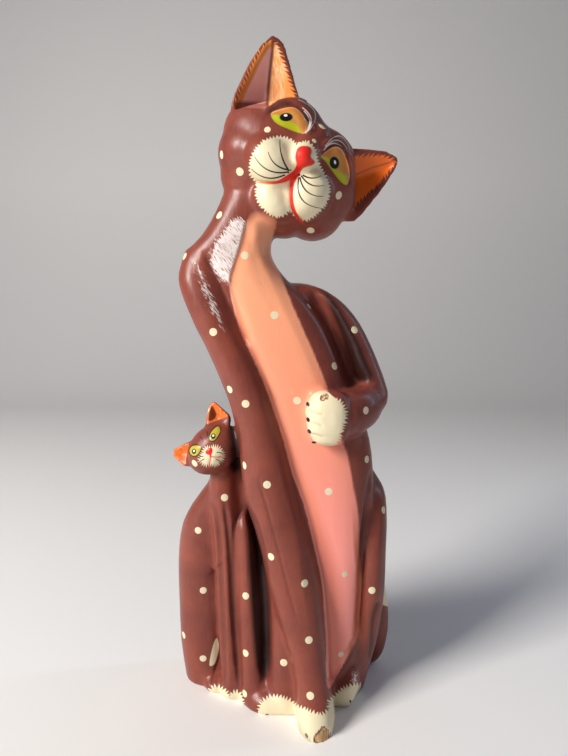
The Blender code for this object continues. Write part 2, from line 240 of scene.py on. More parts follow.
def close_to(at, line, reach):
    """Which places lie within a line's box, widened by the reach."""
    low = line.min(axis=0) - reach
    high = line.max(axis=0) + reach
    return np.where(np.all((at > low) & (at < high), axis=1))[0]


def near(at, line, reach=FAR):
    """Each place's distance from a line, how far along it that is, and which side it lies on."""
    chosen = close_to(at, line, reach)
    here = at[chosen]
    nearest = np.full(len(here), FAR)
    along = np.zeros(len(here))
    side = np.zeros(len(here))
    run = 0.0
    for start, end in zip(line, line[1:]):
        span = end - start
        length = np.linalg.norm(span)
        if length == 0.0:
            continue
        away = here - start
        share = np.clip((away @ span) / length ** 2, 0.0, 1.0)
        distance = np.linalg.norm(away - share[:, None] * span, axis=1)
        closer = distance < nearest
        nearest[closer] = distance[closer]
        along[closer] = run + length * share[closer]
        side[closer] = np.sign(span[0] * away[closer, 1] - span[1] * away[closer, 0])
        run += length
    results = [np.full(len(at), FAR), np.zeros(len(at)), np.zeros(len(at))]
    for result, values in zip(results, (nearest, along, side)):
        result[chosen] = values
    return results


def within(at, outline):
    """Distance from a closed outline, positive inside it, and how far round it that is."""
    line = curve(outline, closed=True)
    chosen = close_to(at, line, EDGE_REACH)
    here = at[chosen]
    distance, along, _ = near(here, line)
    inside = np.zeros(len(here), dtype=bool)
    for start, end in zip(line, line[1:]):
        crosses = (start[1] > here[:, 1]) != (end[1] > here[:, 1])
        rise = end[1] - start[1]
        cut = start[0] + (here[:, 1] - start[1]) * (end[0] - start[0]) / (rise if rise else 1.0)
        inside ^= crosses & (here[:, 0] < cut)
    depth = np.full(len(at), AWAY)
    depth[chosen] = np.maximum(np.where(inside, distance, -distance), AWAY)
    run = np.zeros(len(at))
    run[chosen] = along
    return depth, run


# %% [markdown]
# The carving. Knife lines are narrow sunk grooves, ridges are raised the same way, and a swelling such
# as an eyeball or the nose rises inside its outline. Each is worked along the skin's own normal, and
# only where the skin faces the front. The points come from where each line shows in the picture.

# %% Where the knife went
EYE_LEFT = [
    (271, 113), (279, 109.6), (290.6, 107.1), (298, 109.5), (304.5, 117), (307, 125), (304.6, 133.3),
    (297, 132.2), (286.3, 128.1), (277, 123.6), (272.2, 118.5),
]
EYE_RIGHT = [
    (321, 156.2), (326.8, 151), (332, 147.6), (337.5, 146.8), (342, 149.6), (346, 157.5), (348.6, 166),
    (349.8, 175), (347.6, 184), (343.5, 184), (337.5, 178), (331, 169), (325, 160.8),
]
NOSE = [
    (297, 150), (300.5, 146.4), (305, 145.8), (309.5, 147), (311.8, 151), (311, 157), (315, 161.6),
    (312.5, 165), (306, 167), (301, 169), (297, 166), (295.4, 158),
]
PHILTRUM = [(301, 168), (296, 174), (291, 179)]
MOUTH_LEFT = [(291, 179), (284, 181.6), (275, 183), (266, 182.8), (256, 181.6)]
MOUTH_RIGHT = [(291, 179), (289.8, 190), (291, 203), (295, 213.5), (304.5, 224)]
BROW_LEFT = [(262, 110), (275, 103.5), (290, 100), (303, 106), (311, 117), (311.5, 127), (305, 135)]
BROW_RIGHT = [(320, 150), (327, 142), (336, 139.5), (345, 146), (350.5, 156), (352, 172)]
BROW_UNDER_LEFT = [
    (268, 114), (278, 107.5), (291, 104.6), (301, 108.8), (307, 117.5), (309, 126), (306, 133.5),
]
BROW_UNDER_RIGHT = [
    (320, 155), (328, 147.6), (337, 144.4), (343.6, 148.6), (348.5, 158), (351.2, 172), (350, 184),
]
TOP_EAR_FOLD = [(273, 40), (272, 55), (269.6, 75), (268, 95), (267, 116)]
ARM_CREASE = [(206, 253), (212, 266), (220, 281), (228, 300), (237, 320)]
LEG_CREASE = [(257.6, 477), (267, 508), (277, 545), (287, 584), (297, 620)]
LEG_RIDGE = [(276, 455), (287, 492), (295, 520), (298, 551), (301, 578), (306, 612)]
PINK_STEP = [
    (243, 232), (238, 249), (232.4, 266), (229, 281), (232, 303), (239, 328), (246, 345), (262, 380),
    (280, 430), (292, 474), (304, 507), (313, 544), (321, 580), (324, 613), (326, 646), (327, 676),
]
KITTEN_CREVICE = [(230, 414), (234, 425), (237, 440), (238, 455), (238, 470)]
SHIN_GROOVE = [(248, 508), (255, 528), (261, 556), (265, 600), (266, 640), (265, 676)]
SHIN_LEFT = [(247, 503), (240, 512), (235.5, 524), (234, 545), (234.5, 595), (238, 640), (241, 692)]
KITTEN_LEG_LEFT = [(211, 500), (217, 520), (220, 549), (222, 600), (225, 688)]
KITTEN_LEG_RIGHT = [(224, 500), (229, 541), (232, 600), (236, 650), (240, 690)]
KITTEN_HAUNCH = [(188, 574), (197, 575.5), (206, 575), (214, 572), (219, 566)]
KITTEN_TAIL = [(220, 656), (216, 668), (211, 686)]
CHEST_RIDGE = [(252, 222), (257, 242), (264, 266), (276, 294), (290, 324), (305, 357), (318, 386)]
TAIL_GROOVE = [(379, 600), (374, 618), (372, 640), (370, 662)]
HAUNCH_GROOVE = [(372, 470), (367, 500), (362, 545), (361, 575)]
FOOT_GROOVE = [(354, 642), (349, 656), (341, 668), (332, 680)]
RECESS_RIM = [(305, 292), (318, 306), (331, 325), (342, 350), (350, 378)]
CHEST_TOES = [
    [(308, 409), (313, 412), (317, 413.6), (324, 414.4)],
    [(308, 422.6), (313, 423), (317, 424), (323, 426)],
    [(311, 434), (315, 434.8), (319, 436), (324, 437.4)],
]
KITTEN_EYE_RIGHT = [
    (218.3, 425.7), (220.8, 430.6), (218, 436.5), (214, 441), (209.8, 440.4), (209.3, 435.2), (213, 429.2),
]
KITTEN_EYE_LEFT = [
    (189, 451), (191, 446.3), (195, 445), (199.5, 445.3), (201.3, 448), (199.6, 452.4), (196, 456),
    (191.5, 455.6),
]
KITTEN_NOSE = [
    (205.2, 452), (207.2, 449), (209.8, 447.4), (211.9, 448), (212.6, 451), (211.2, 454.6), (208.4, 454.8),
]
KITTEN_MOUTH = [(210.6, 455), (210.4, 460), (208.8, 467)]

# Each groove or ridge: its line, how deep in mm, or how high where negative, and its half width in pixels
KNIFE = [
    (PHILTRUM, 1.0, 3.0), (MOUTH_LEFT, 1.3, 3.2), (MOUTH_RIGHT, 1.3, 3.2),
    (BROW_LEFT, -1.3, 5.0), (BROW_RIGHT, -1.3, 4.5),
    (BROW_UNDER_LEFT, 1.4, 2.4), (BROW_UNDER_RIGHT, 1.4, 2.4),
    (ARM_CREASE, 0.4, 5.0), (LEG_CREASE, 0.6, 2.4), (LEG_RIDGE, -0.5, 6.0), (SHIN_GROOVE, 2.2, 7.5),
    (KITTEN_CREVICE, 1.5, 5.0), (SHIN_LEFT, 1.2, 4.0),
    (KITTEN_LEG_LEFT, 1.4, 4.0), (KITTEN_LEG_RIGHT, 1.4, 4.0),
    (CHEST_RIDGE, -0.7, 8.0), (KITTEN_TAIL, 0.8, 2.4), (TAIL_GROOVE, 2.0, 4.0), (HAUNCH_GROOVE, 1.6, 4.0),
    (FOOT_GROOVE, 1.5, 3.5),
    (RECESS_RIM, -1.2, 4.5), (KITTEN_MOUTH, 0.6, 1.8),
]
KNIFE += [(line, 0.9, 1.8) for line in CHEST_TOES]

MUZZLE_FILL = [(305, 168), (312, 165), (320, 168), (322, 175), (315, 179), (307, 177)]

# Each swelling: its outline, how high in mm and how many pixels its edge takes to rise
SWELLINGS = [
    (EYE_LEFT, 1.5, 7.0), (EYE_RIGHT, 1.5, 7.0), (NOSE, 1.6, 2.6), (MUZZLE_FILL, 1.5, 7.0),
    (KITTEN_EYE_RIGHT, 0.5, 2.5), (KITTEN_EYE_LEFT, 0.5, 2.5), (KITTEN_NOSE, 1.0, 2.0),
]

# Chips that show the bare wood: the outline and how deep it is broken out in mm
FRONT_CHIP = [
    (314.2, 740), (315.6, 735), (318.6, 732), (321, 728.6), (323.6, 726.6), (326.6, 729.6), (329.4, 733),
    (329, 740), (325.6, 745), (318.6, 745),
]
CHEST_CHIP = [(320, 398), (322.4, 396), (326, 394.8), (328.4, 396), (326.4, 398.6), (324, 400), (321, 399.8)]
CHIPS = [(FRONT_CHIP, 1.8), (CHEST_CHIP, 0.4)]

# Each step: its line, how much lower its right side is in mm, and over how many pixels that fades
STEPS = [(PINK_STEP, 1.6, 16.0), (KITTEN_HAUNCH, -1.2, 14.0)]


# Where the front paw stands and how far it reaches, in metres, and how two edges are moved
FRONT_PAW_MIDDLE = np.array([0.0269, -0.0389])
FRONT_PAW_HALF = np.array([0.0173, 0.0284])
FRONT_PAW_TOP = 0.034
PAW_FRONT = -0.028
PAW_SHIFT = 0.0024
EAR_SHIFT = 0.0024
TOP_EAR_FOOT = 110.0

# Directions and fineness of the two waves that roughen a chip, in radians a metre
CRUMB_WAVES = np.array([[2900.0, 900.0, 1700.0], [-1500.0, 2100.0, 2600.0]])


def ease(share):
    """A soft rise from 0 to 1."""
    share = np.clip(share, 0.0, 1.0)
    return share * share * (3.0 - 2.0 * share)


def facing(places, normals):
    """1 where the skin faces the front, 0 where it turns away."""
    away = places - np.array(EYE)
    away /= np.linalg.norm(away, axis=1)[:, None]
    return -np.sum(away * normals, axis=1)


def paws_put_right(places, at):
    """The front paw rounded off where it stands, and the chest paw and top ear moved to their edges."""
    moved = places.copy()
    along = (places[:, :2] - FRONT_PAW_MIDDLE) / FRONT_PAW_HALF
    reach = np.linalg.norm(along, axis=1)
    bulge = (places[:, 1] < FRONT_PAW_MIDDLE[1]) & (reach > 1.0) & (places[:, 2] < FRONT_PAW_TOP)
    inward = (FRONT_PAW_MIDDLE + along / np.maximum(reach, 1.0)[:, None] * FRONT_PAW_HALF) - places[:, :2]
    share = ease((FRONT_PAW_TOP - places[:, 2]) / (0.6 * FRONT_PAW_TOP))
    moved[bulge, :2] += (inward * share[:, None])[bulge]
    paw = closeness(places, PAW_MIDDLE, 0.8 * PAW_REACH) * (places[:, 1] < PAW_FRONT)
    moved[:, 0] += PAW_SHIFT * paw
    distance, _, side = near(at, curve(TOP_EAR_FOLD), EDGE_REACH * 2)
    edge = ease(distance / 12.0) * ease((TOP_EAR_FOOT - at[:, 1]) / 15.0)
    moved[:, 0] += EAR_SHIFT * np.where((side < 0) & (distance < FAR), edge, 0.0)
    return moved


def carve(piece):
    """Work the knife's marks into a skin, and say how deep in mm each point was sunk."""
    places = read(piece.data)
    write(piece.data, paws_put_right(places, seen(places)))
    places = read(piece.data)
    normals = read(piece.data, "normal")
    front = np.clip(facing(places, normals) * 3.0, 0.0, 1.0)
    at = seen(places)
    rise = np.zeros(len(places))
    sunk = np.zeros(len(places))
    for line, depth, reach in KNIFE:
        drawn = curve(line)
        distance, along, _ = near(at, drawn, reach)
        whole = np.sum(np.linalg.norm(np.diff(drawn, axis=0), axis=1))
        ends = ease(np.minimum(along, whole - along) / (0.12 * whole) + 0.25)
        cut = depth * ease(1.0 - distance / reach) * ends
        rise -= cut
        sunk = np.maximum(sunk, cut)
    for outline, height, edge in SWELLINGS:
        distance, _ = within(at, outline)
        rise += height * ease(distance / edge)
    for outline, depth in CHIPS:
        distance, _ = within(at, outline)
        crumbs = 0.8 + 0.2 * np.sin(places @ CRUMB_WAVES[0]) * np.sin(places @ CRUMB_WAVES[1])
        rise -= depth * ease(distance / 1.2) * crumbs
    for line, drop, fade in STEPS:
        distance, _, side = near(at, curve(line), fade)
        lower = np.where(side < 0, 1.0 - distance / fade, 0.0)
        rise -= drop * ease(lower) * ease(distance / 1.5)
    write(piece.data, places + normals * (rise * front * 0.001)[:, None])
    return sunk * front


sunk_depth = carve(cat)
print("carved", len(KNIFE), "knife lines and", len(SWELLINGS), "swellings")

# %% [markdown]
# Where the paints lie. Each painted area is kept on the skin as a number for each point: how far inside
# the area's edge it lies, in pixels of the picture, and for a nicked edge how far along the edge and how
# nicked it is there. The material turns those into crisp edges.

# %% Outlines of the painted areas
PINK = [
    (254, 212.6), (265, 214), (276, 221), (272, 240), (276, 262), (290, 300), (303, 330), (321, 372),
    (330, 400), (341, 438), (347, 456), (353, 487), (358, 515), (358.5, 544), (360, 566), (361, 584),
    (359, 615), (357, 636), (347, 658), (336, 678), (329, 689), (326, 676), *PINK_STEP[14:0:-1], (243, 231),
    (248, 219),
]
MUZZLE = [
    (256, 182.5), (250.6, 176), (249.3, 168.2), (250.2, 160.4), (253.6, 151.8), (258.8, 144.9),
    (264.8, 139.8), (273.4, 137), (281, 136.2), (288, 138), (293, 140.6), (297.4, 144), (301, 142),
    (306, 141.2), (312.1, 144.4), (316.4, 151.8), (318, 160), (321.5, 168.2), (325.6, 175.2), (328.8, 183),
    (330, 190.8), (328.3, 200), (324.2, 207.2), (318.2, 213.4), (312.1, 218.4), (306, 220.8), (300, 219.4),
    (295, 216), (290, 211.4), (286, 214.6), (281, 216.8), (275.5, 216.9), (269.5, 214.6), (263.8, 210),
    (259, 204), (256, 196.6), (255.6, 189.7),
]
RED = [
    (297, 149.4), (300.5, 146.4), (305, 145.8), (309.5, 147), (311.8, 151), (310.9, 157), (315, 161.8),
    (313, 164.8), (308.5, 166.4), (303.6, 168.2), (301, 171), (299.4, 175), (296.6, 179), (294.4, 184),
    (293.2, 192), (293.6, 202), (296, 211), (300, 218), (305, 224.8), (298.6, 220.6), (293.6, 214.4),
    (290.2, 204.6), (289.2, 192), (289.8, 181), (285.5, 182), (279.4, 183.4), (272.5, 184.2), (264.8, 184),
    (256, 182), (264.8, 181.6), (273.4, 181.3), (279.4, 179.8), (284.6, 176.6), (290, 173.2), (294.6, 169),
    (296.4, 163.9), (295.2, 157),
]
GREEN_LEFT = [
    (272.6, 115.4), (278, 114.6), (284, 118), (290, 121.6), (295, 124), (299, 128), (300, 135),
    (286.3, 130.6), (277, 126), (269, 119),
]
GREEN_RIGHT = [
    (319, 155), (325, 157.4), (330.4, 160.4), (334, 168), (340, 172.4), (346, 176), (348, 186), (342, 187),
    (331, 176), (322, 163),
]
TOP_EAR_RIM = [
    (227, 128), (233.4, 108), (239.6, 92), (246.8, 77), (253.6, 62), (259.4, 51.4), (264.8, 44.4),
    (271, 41), (276.4, 44), (281, 54), (285.6, 67), (291, 84), (296.6, 98), (302, 118), (262, 140),
]
SIDE_EAR_RIM = [
    (336, 156), (352, 156), (364, 155.4), (376, 155.4), (386, 156.6), (392, 158.8), (396, 161.4),
    (393, 167), (386, 175.6), (378, 185), (369, 192.4), (361, 199.8), (353, 208), (340, 220),
]
TOP_EAR_BASE = [
    (224, 109), (240, 107.4), (258, 108.4), (264, 108.2), (270, 105.6), (277, 100.6), (286, 97.6),
    (302, 97),
]
SIDE_EAR_BASE = [(350.8, 140), (351.4, 158), (352.4, 176), (353.4, 192), (355.4, 208), (356, 222)]
SIDE_EAR_FOLD = [(346, 180), (360, 172.6), (375, 166.8), (398, 160)]
KITTEN_TOP_EAR_RIM = [
    (207, 426), (206.6, 416), (208, 409), (210.4, 404.6), (213, 402.6), (217, 403.6), (221.6, 408.4),
    (225.4, 412.6), (228, 416), (226, 424), (214, 430),
]
KITTEN_SIDE_EAR_RIM = [
    (173.4, 448.6), (178, 446.6), (184, 445), (191, 443.4), (194, 452), (190, 468), (184, 466),
    (177, 460.8), (173.8, 456), (172.6, 452),
]
KITTEN_TOP_EAR_BASE = [(200, 426), (208, 423.2), (216, 420.6), (227, 417), (234, 415)]
KITTEN_SIDE_EAR_BASE = [(184.4, 472), (185.2, 464), (187, 454), (188.4, 446), (190, 438)]
KITTEN_TOP_EAR_FOLD = [(212, 402), (215.4, 410), (217, 416), (218, 424)]
KITTEN_SIDE_EAR_FOLD = [(172, 450), (180, 450.6), (192, 450)]
KITTEN_MUZZLE = [
    (199, 461), (199.8, 457), (201.6, 453.6), (203.6, 449), (206.4, 446.6), (209.8, 447.2), (213.4, 445.8),
    (217.4, 446.2), (221, 448.8), (223.4, 453), (223.8, 457), (222.4, 460.6), (219.8, 463.6), (216, 466),
    (211.6, 465), (206.4, 465.8), (202.4, 464),
]
KITTEN_RED = [
    (205.2, 452), (207.4, 448.8), (209.8, 447.6), (211.9, 448), (212.6, 451), (211.6, 454.4), (212, 456.2),
    (217.4, 456.6), (224, 455.8), (217.4, 458), (211.4, 457.6), (210.8, 461), (209.4, 467), (208.4, 466.6),
    (209.6, 460), (209.6, 455.4), (207, 454.4),
]

# Cream paws and tail tips
CHEST_PAW = [
    (310.3, 397.2), (306.3, 403), (304.6, 412), (305, 420.2), (306.5, 428.8), (309.2, 436), (313, 442.6),
    (319, 446.4), (327.6, 448), (336.6, 444), (341, 436), (344.4, 426), (346.6, 417), (345.8, 409),
    (341.8, 402), (334, 397.2), (328.4, 392.4), (322.4, 390.4), (315.5, 392.2),
]
FRONT_PAW = [
    (288, 706), (296, 705.5), (305, 708.4), (314, 712), (322, 713.6), (331, 708), (338, 712), (338, 760),
    (286, 760),
]
LEFT_FOOT = [
    (261.5, 701), (268, 697), (276, 695.4), (284, 697.4), (292, 701), (298, 710), (292, 728), (263, 726),
    (258.4, 716), (258.6, 707),
]
RIGHT_FOOT = [
    (328, 704), (334, 696), (343, 688), (352, 684.6), (364, 684), (372, 690), (360, 712), (334, 724),
]
KITTEN_HIND_FOOT = [(208, 692), (212, 687), (218, 686), (224, 689), (229, 695), (228, 706), (206, 702)]
KITTEN_FRONT_FOOT = [(229.6, 696), (233, 691.6), (238, 691.6), (241.4, 695), (242.4, 706), (229, 706)]
TAIL_TIP = [
    (384, 565), (380, 572.8), (377.6, 580), (376.4, 588.4), (376, 596), (376.4, 605), (380, 603),
    (386, 606), (396, 604), (398, 566),
]
KITTEN_TAIL_TIP = [
    (217, 638), (218.8, 645), (217.6, 654), (215.4, 662.4), (211.6, 666), (209.4, 664), (211.4, 652),
    (214.2, 642),
]

# Each cream area, with the nearest and furthest that its paint lies from front to back in metres, and
# the part of its edge that is nicked: a direction in the picture, and how far that way the nicks begin.
# FAR means no nicks at all.
CREAM_AREAS = [
    (CHEST_PAW, -0.10, -0.0305, (1, 0), 335), (FRONT_PAW, -0.10, -0.014, (0, -1), -722),
    (LEFT_FOOT, -0.10, 0.001, (0, -1), -712), (RIGHT_FOOT, -0.10, 0.001, (0, -1), -705),
    (KITTEN_HIND_FOOT, -0.10, 0.013, (0, -1), -696), (KITTEN_FRONT_FOOT, -0.10, 0.005, (0, -1), -697),
    (TAIL_TIP, -0.02, 0.10, (0, 1), FAR), (KITTEN_TAIL_TIP, -0.10, 0.021, (0, 1), FAR),
]

# Patches of painted highlight, broken into fine slanting lines where the gloss has scratches, and the deep
# hollows where painted shade makes the brown nearly black
HIGHLIGHT_PATCHES = [
    [
        (232, 216), (247, 218), (248, 231), (246, 243), (242, 256), (237, 270), (231, 286), (219, 281),
        (210, 270), (207, 258), (211, 245), (219, 232),
    ],
    [
        (191.6, 257), (198.8, 261), (206.4, 276.4), (214.4, 294.4), (222.4, 314.4), (227.6, 331),
        (223, 334), (214, 320), (205.6, 302), (198, 285), (191.6, 268),
    ],
    [(351, 670), (356, 667), (360, 673), (358, 683), (353, 691), (350, 688), (350, 678)],
]
SHADED_HOLLOWS = [
    [
        (229, 419), (234, 424), (239, 436), (241, 452), (240, 468), (234, 474), (229, 468), (228, 456),
        (229, 444), (227, 432),
    ],
    [
        (316, 286), (325, 289), (338, 303), (349, 320), (361, 343), (370, 364), (376, 380), (364, 383),
        (355, 381), (350, 368), (345, 352), (340, 337), (334, 322), (325, 301),
    ],
    [
        (246, 505), (253, 514), (260, 540), (267, 570), (271, 610), (272, 650), (269, 676), (260, 678),
        (254, 660), (250, 610), (247, 560),
    ],
]

# Where the side ear's nicks begin, what lies beside it in the picture, and how far forward in metres it
# comes. Then the ball that the cream of the tail tip stays within.
SIDE_EAR_NICKS_FROM = 352.0
SIDE_EAR_LEFT = 345.0
SIDE_EAR_TOP = 130.0
SIDE_EAR_FRONT = 0.002
TAIL_TIP_MIDDLE = np.array([0.1012, 0.040, 0.088])
TAIL_TIP_REACH_MM = 28.0

# The head's reach in metres round its middle, and then the lines in the picture, in pixels down or
# right, that tell the head, the cat's face and the four ears apart
HEAD_ROOM = 0.14
HEAD_BOTTOM = 205
CAT_FACE_BOTTOM = 300
TOP_EAR_BOTTOM = 130
TOP_EAR_RIGHT = 315
KITTEN_TOP_EAR_LEFT = 200
KITTEN_EAR_SHADE = [(211.7, 404.8), (215.1, 409.9), (217, 415), (213, 420.6), (208.2, 421), (208.8, 413.9)]

# %% [markdown]
# The dots are dabbed with the round end of a stick, 6 to 7 mm across and a few of them smaller, in loose
# rows all over the brown and pink. The ones in front are where the picture shows them. The back shows
# nowhere, so it is given dots in the same loose rows by a seeded draw.

# %% Dots
DOT_RADIUS = 0.0034
DOT_SPACING = 0.052
DOT_SEED = 7
BACK_DOTS_RIGHT_EDGE = 0.085
BACK_DOTS_LOWEST = 0.02
BACK_DOTS_HIGHEST = 0.545
BACK_DOTS_TRIES = 4000
DOTS = [
    (240, 171), (323, 126), (339, 195), (310, 231), (219, 215), (245, 256), (274, 315), (297, 400),
    (329, 492), (355, 329), (335, 366), (366, 411), (367, 459), (384, 510), (372, 590), (213, 332),
    (246, 404), (244, 465), (267, 485), (271, 557), (305, 583), (309, 640), (310, 695), (283, 663),
    (245, 596), (245, 653), (244, 694), (224, 498), (198, 530), (203, 590), (203, 658), (194, 464),
    (221, 155), (184, 256), (229, 390), (183, 635),
]
SMALL_DOTS = [(314.5, 141.2), (267, 130), (345, 574), (341, 655), (311, 304)]
SMALL_DOT_SHARES = [0.6, 0.78, 0.78, 0.8, 0.8]
RING_DEPTH_MM = 1.5


def dab_places(places, normals, at):
    """The skin points at the middle of each dot."""
    front = facing(places, normals)
    dabs = []
    for dot in DOTS + SMALL_DOTS:
        distance = np.linalg.norm(at - np.array(dot), axis=1)
        distance[front < 0.02] = FAR
        nearby = np.where(distance < 3.0)[0]
        if len(nearby):
            dabs.append(nearby[np.argmin(places[nearby, 1] + 0.002 * distance[nearby])])
        else:
            dabs.append(np.argmin(distance))
    draw = np.random.default_rng(DOT_SEED)
    plain = (places[:, 2] > BACK_DOTS_LOWEST) & (places[:, 2] < BACK_DOTS_HIGHEST)
    plain &= places[:, 0] < BACK_DOTS_RIGHT_EDGE
    hidden = np.where((front < -0.35) & plain)[0]
    chosen = [places[index] for index in dabs]
    back = []
    for index in draw.permutation(hidden)[:BACK_DOTS_TRIES]:
        gaps = np.linalg.norm(np.array(chosen) - places[index], axis=1)
        if gaps.min() > DOT_SPACING * 0.82:
            chosen.append(places[index])
            back.append(index)
    return dabs, back


def dot_field(places, normals, at):
    """How far each point lies outside the nearest dot's edge, in metres."""
    dabs, back = dab_places(places, normals, at)
    nearest = np.full(len(places), 1.0)
    for number, index in enumerate(dabs + back):
        small = number - len(DOTS)
        radius = DOT_RADIUS * (SMALL_DOT_SHARES[small] if 0 <= small < len(SMALL_DOTS) else 1.0)
        gap = np.linalg.norm(places - places[index], axis=1) - radius
        nearest = np.minimum(nearest, gap)
    print("dots", len(dabs), "in front and", len(back), "behind")
    return nearest


# %% Marks on the skin
def keep(mesh, name, values):
    """Keep one number for each point of a mesh under a name that a material can read."""
    layer = mesh.attributes.new(name, "FLOAT", "POINT")
    layer.data.foreach_set("value", values.astype(np.float32))


def deepest_of(results):
    """Of several areas' depths and runs, the deepest at each point and how far round its edge that is."""
    deepest, along = results[0]
    for depth, run in results[1:]:
        deeper = depth > deepest
        deepest = np.where(deeper, depth, deepest)
        along = np.where(deeper, run, along)
    return deepest, along


def areas(at, front, outlines):
    """The deepest of several outlines at each point that faces the front, and how far round it is."""
    results = []
    for outline in outlines:
        depth, run = within(at, outline)
        results.append((np.where(front > 0.0, depth, AWAY), run))
    return deepest_of(results)


def cream_areas(places, at):
    """The cream paws and tail tips: how deep inside, how far round and how nicked their edges are."""
    results = []
    teeth = np.zeros(len(at))
    for outline, nearest, furthest, direction, begin in CREAM_AREAS:
        depth, run = within(at, outline)
        between = (places[:, 1] > nearest) & (places[:, 1] < furthest)
        if outline is TAIL_TIP:
            reach = TAIL_TIP_REACH_MM - 1000.0 * np.linalg.norm(places - TAIL_TIP_MIDDLE, axis=1)
            depth = np.clip(reach, AWAY, depth)
        results.append((np.where(between, depth, AWAY), run))
        past = ease((at @ np.array(direction) - begin) / 4.0)
        teeth = np.where(depth > AWAY, np.maximum(past, teeth), teeth)
    return (*deepest_of(results), teeth)


def above_bases(at, on_top, bases):
    """How far each point lies beyond the foot of its ear, up towards the tip."""
    beyond = []
    for base in bases:
        distance, _, side = near(at, curve(base))
        beyond.append(distance * -side)
    return np.where(on_top, *beyond)


def mark(piece, sunk):
    mesh = piece.data
    places = read(mesh)
    normals = read(mesh, "normal")
    front = facing(places, normals)
    at = seen(places)
    marks = {"sunk": sunk, "dots": dot_field(places, normals, at) * 1000.0}
    marks["front"] = ease(front / 0.08)
    on_head = (np.linalg.norm(places - HEAD_MIDDLE, axis=1) < HEAD_ROOM) & (at[:, 1] < HEAD_BOTTOM)
    marks["pink"] = np.where(on_head, AWAY, areas(at, front, [PINK])[0])
    distance, _, side = near(at, curve(PINK_STEP))
    marks["pink_step"] = np.clip(-distance * side, AWAY, -AWAY)
    for name, outlines in (
        ("muzzle", [MUZZLE]), ("small_muzzle", [KITTEN_MUZZLE]), ("ear", [TOP_EAR_RIM, SIDE_EAR_RIM]),
        ("small_ear", [KITTEN_TOP_EAR_RIM, KITTEN_SIDE_EAR_RIM]),
    ):
        marks[name], marks[name + "_along"] = areas(at, front, outlines)
        marks[name + "_teeth"] = np.ones(len(at))
    side_of_head = (at[:, 0] > SIDE_EAR_LEFT) & (at[:, 1] > SIDE_EAR_TOP) & (places[:, 1] < SIDE_EAR_FRONT)
    marks["ear"] = np.where(side_of_head, AWAY, marks["ear"])
    marks["cream"], marks["cream_along"], marks["cream_teeth"] = cream_areas(places, at)
    for name, outlines in (
        ("eye", [EYE_LEFT, EYE_RIGHT]), ("green", [GREEN_LEFT, GREEN_RIGHT]), ("red", [RED, KITTEN_RED]),
        ("small_eye", [KITTEN_EYE_RIGHT, KITTEN_EYE_LEFT]), ("bare", [FRONT_CHIP, CHEST_CHIP]),
        ("highlight_patch", HIGHLIGHT_PATCHES), ("hollow", SHADED_HOLLOWS), ("ear_shade", [KITTEN_EAR_SHADE]),
    ):
        marks[name] = areas(at, front, outlines)[0]
    big = at[:, 1] < CAT_FACE_BOTTOM
    top_ear = big & (at[:, 1] < TOP_EAR_BOTTOM) & (at[:, 0] < TOP_EAR_RIGHT)
    small_top_ear = ~big & (at[:, 0] > KITTEN_TOP_EAR_LEFT)
    marks["ear_base"] = above_bases(at, top_ear, (TOP_EAR_BASE, SIDE_EAR_BASE))
    marks["small_ear_base"] = above_bases(at, small_top_ear, (KITTEN_TOP_EAR_BASE, KITTEN_SIDE_EAR_BASE))
    marks["upper_ear"] = (top_ear | small_top_ear).astype(float)
    marks["fold"] = np.zeros(len(at))
    for line, chosen in (
        (TOP_EAR_FOLD, top_ear), (SIDE_EAR_FOLD, big & ~top_ear),
        (KITTEN_TOP_EAR_FOLD, small_top_ear), (KITTEN_SIDE_EAR_FOLD, ~big & ~small_top_ear),
    ):
        distance, _, side = near(at, curve(line))
        marks["fold"][chosen] = (distance * side)[chosen]
    tip = ease((at[:, 0] - SIDE_EAR_NICKS_FROM) / 12.0) * (marks["fold"] < 0.0) + 0.8 * (marks["fold"] > 0.0)
    marks["ear_teeth"] = np.where(top_ear, 1.0, tip)
    for name, values in marks.items():
        keep(mesh, name, values)
    return marks


marks = mark(cat, sunk_depth)
print("marks", len(marks))

# %% [markdown]
# Keeping the mesh light. The skin has far more facets than the plain body needs, so it is thinned there.
# It stays fine on the faces and paws, in the knife's grooves, round each dot and along each painted
# edge. The underside is flattened again, and nothing may stand outside the CAD solid's box.

# %% Fewer facets
TRIANGLE_LIMIT = 194000
FINE_ROUND_DOTS_MM = 2.2
FINE_ALONG_EDGES = 3.0
TEETH_DEPTH = 5.0


def worth_keeping(places, marks):
    """1 where the skin has to stay fine."""
    dots = (marks["dots"] < FINE_ROUND_DOTS_MM).astype(float)
    pink = (np.abs(marks["pink"]) < FINE_ALONG_EDGES).astype(float)
    cream = (np.abs(marks["cream"]) < TEETH_DEPTH).astype(float)
    grooves = np.clip(marks["sunk"], 0.0, 1.0)
    chips = (marks["bare"] > -FINE_ALONG_EDGES).astype(float)
    return np.max([detailed(places), dots, pink, cream, grooves, chips], axis=0)


def lighten(piece, marks):
    weigh(piece, "thin", 1.0 - worth_keeping(read(piece.data), marks))
    thin = piece.modifiers.new("thin", "DECIMATE")
    thin.vertex_group = "thin"
    triangles = sum(len(face.vertices) - 2 for face in piece.data.polygons)
    thin.ratio = min(1.0, TRIANGLE_LIMIT / triangles)
    settle(piece)
    low, high = (np.array(corner) for corner in cad_box)
    write(piece.data, np.clip(read(piece.data), low, high))
    piece.data.shade_smooth()


lighten(cat, marks)
print("triangles", sum(len(face.vertices) - 2 for face in cat.data.polygons))
print("marks kept:", ", ".join(sorted(layer.name for layer in cat.data.attributes if layer.name in marks)))

# %% [markdown]
# The paint. On the real carving this is a gloss oil or acrylic paint, brushed by hand, so it is slick
# where it is thick, shows long brush strokes, and wears through to the wood at the corners.

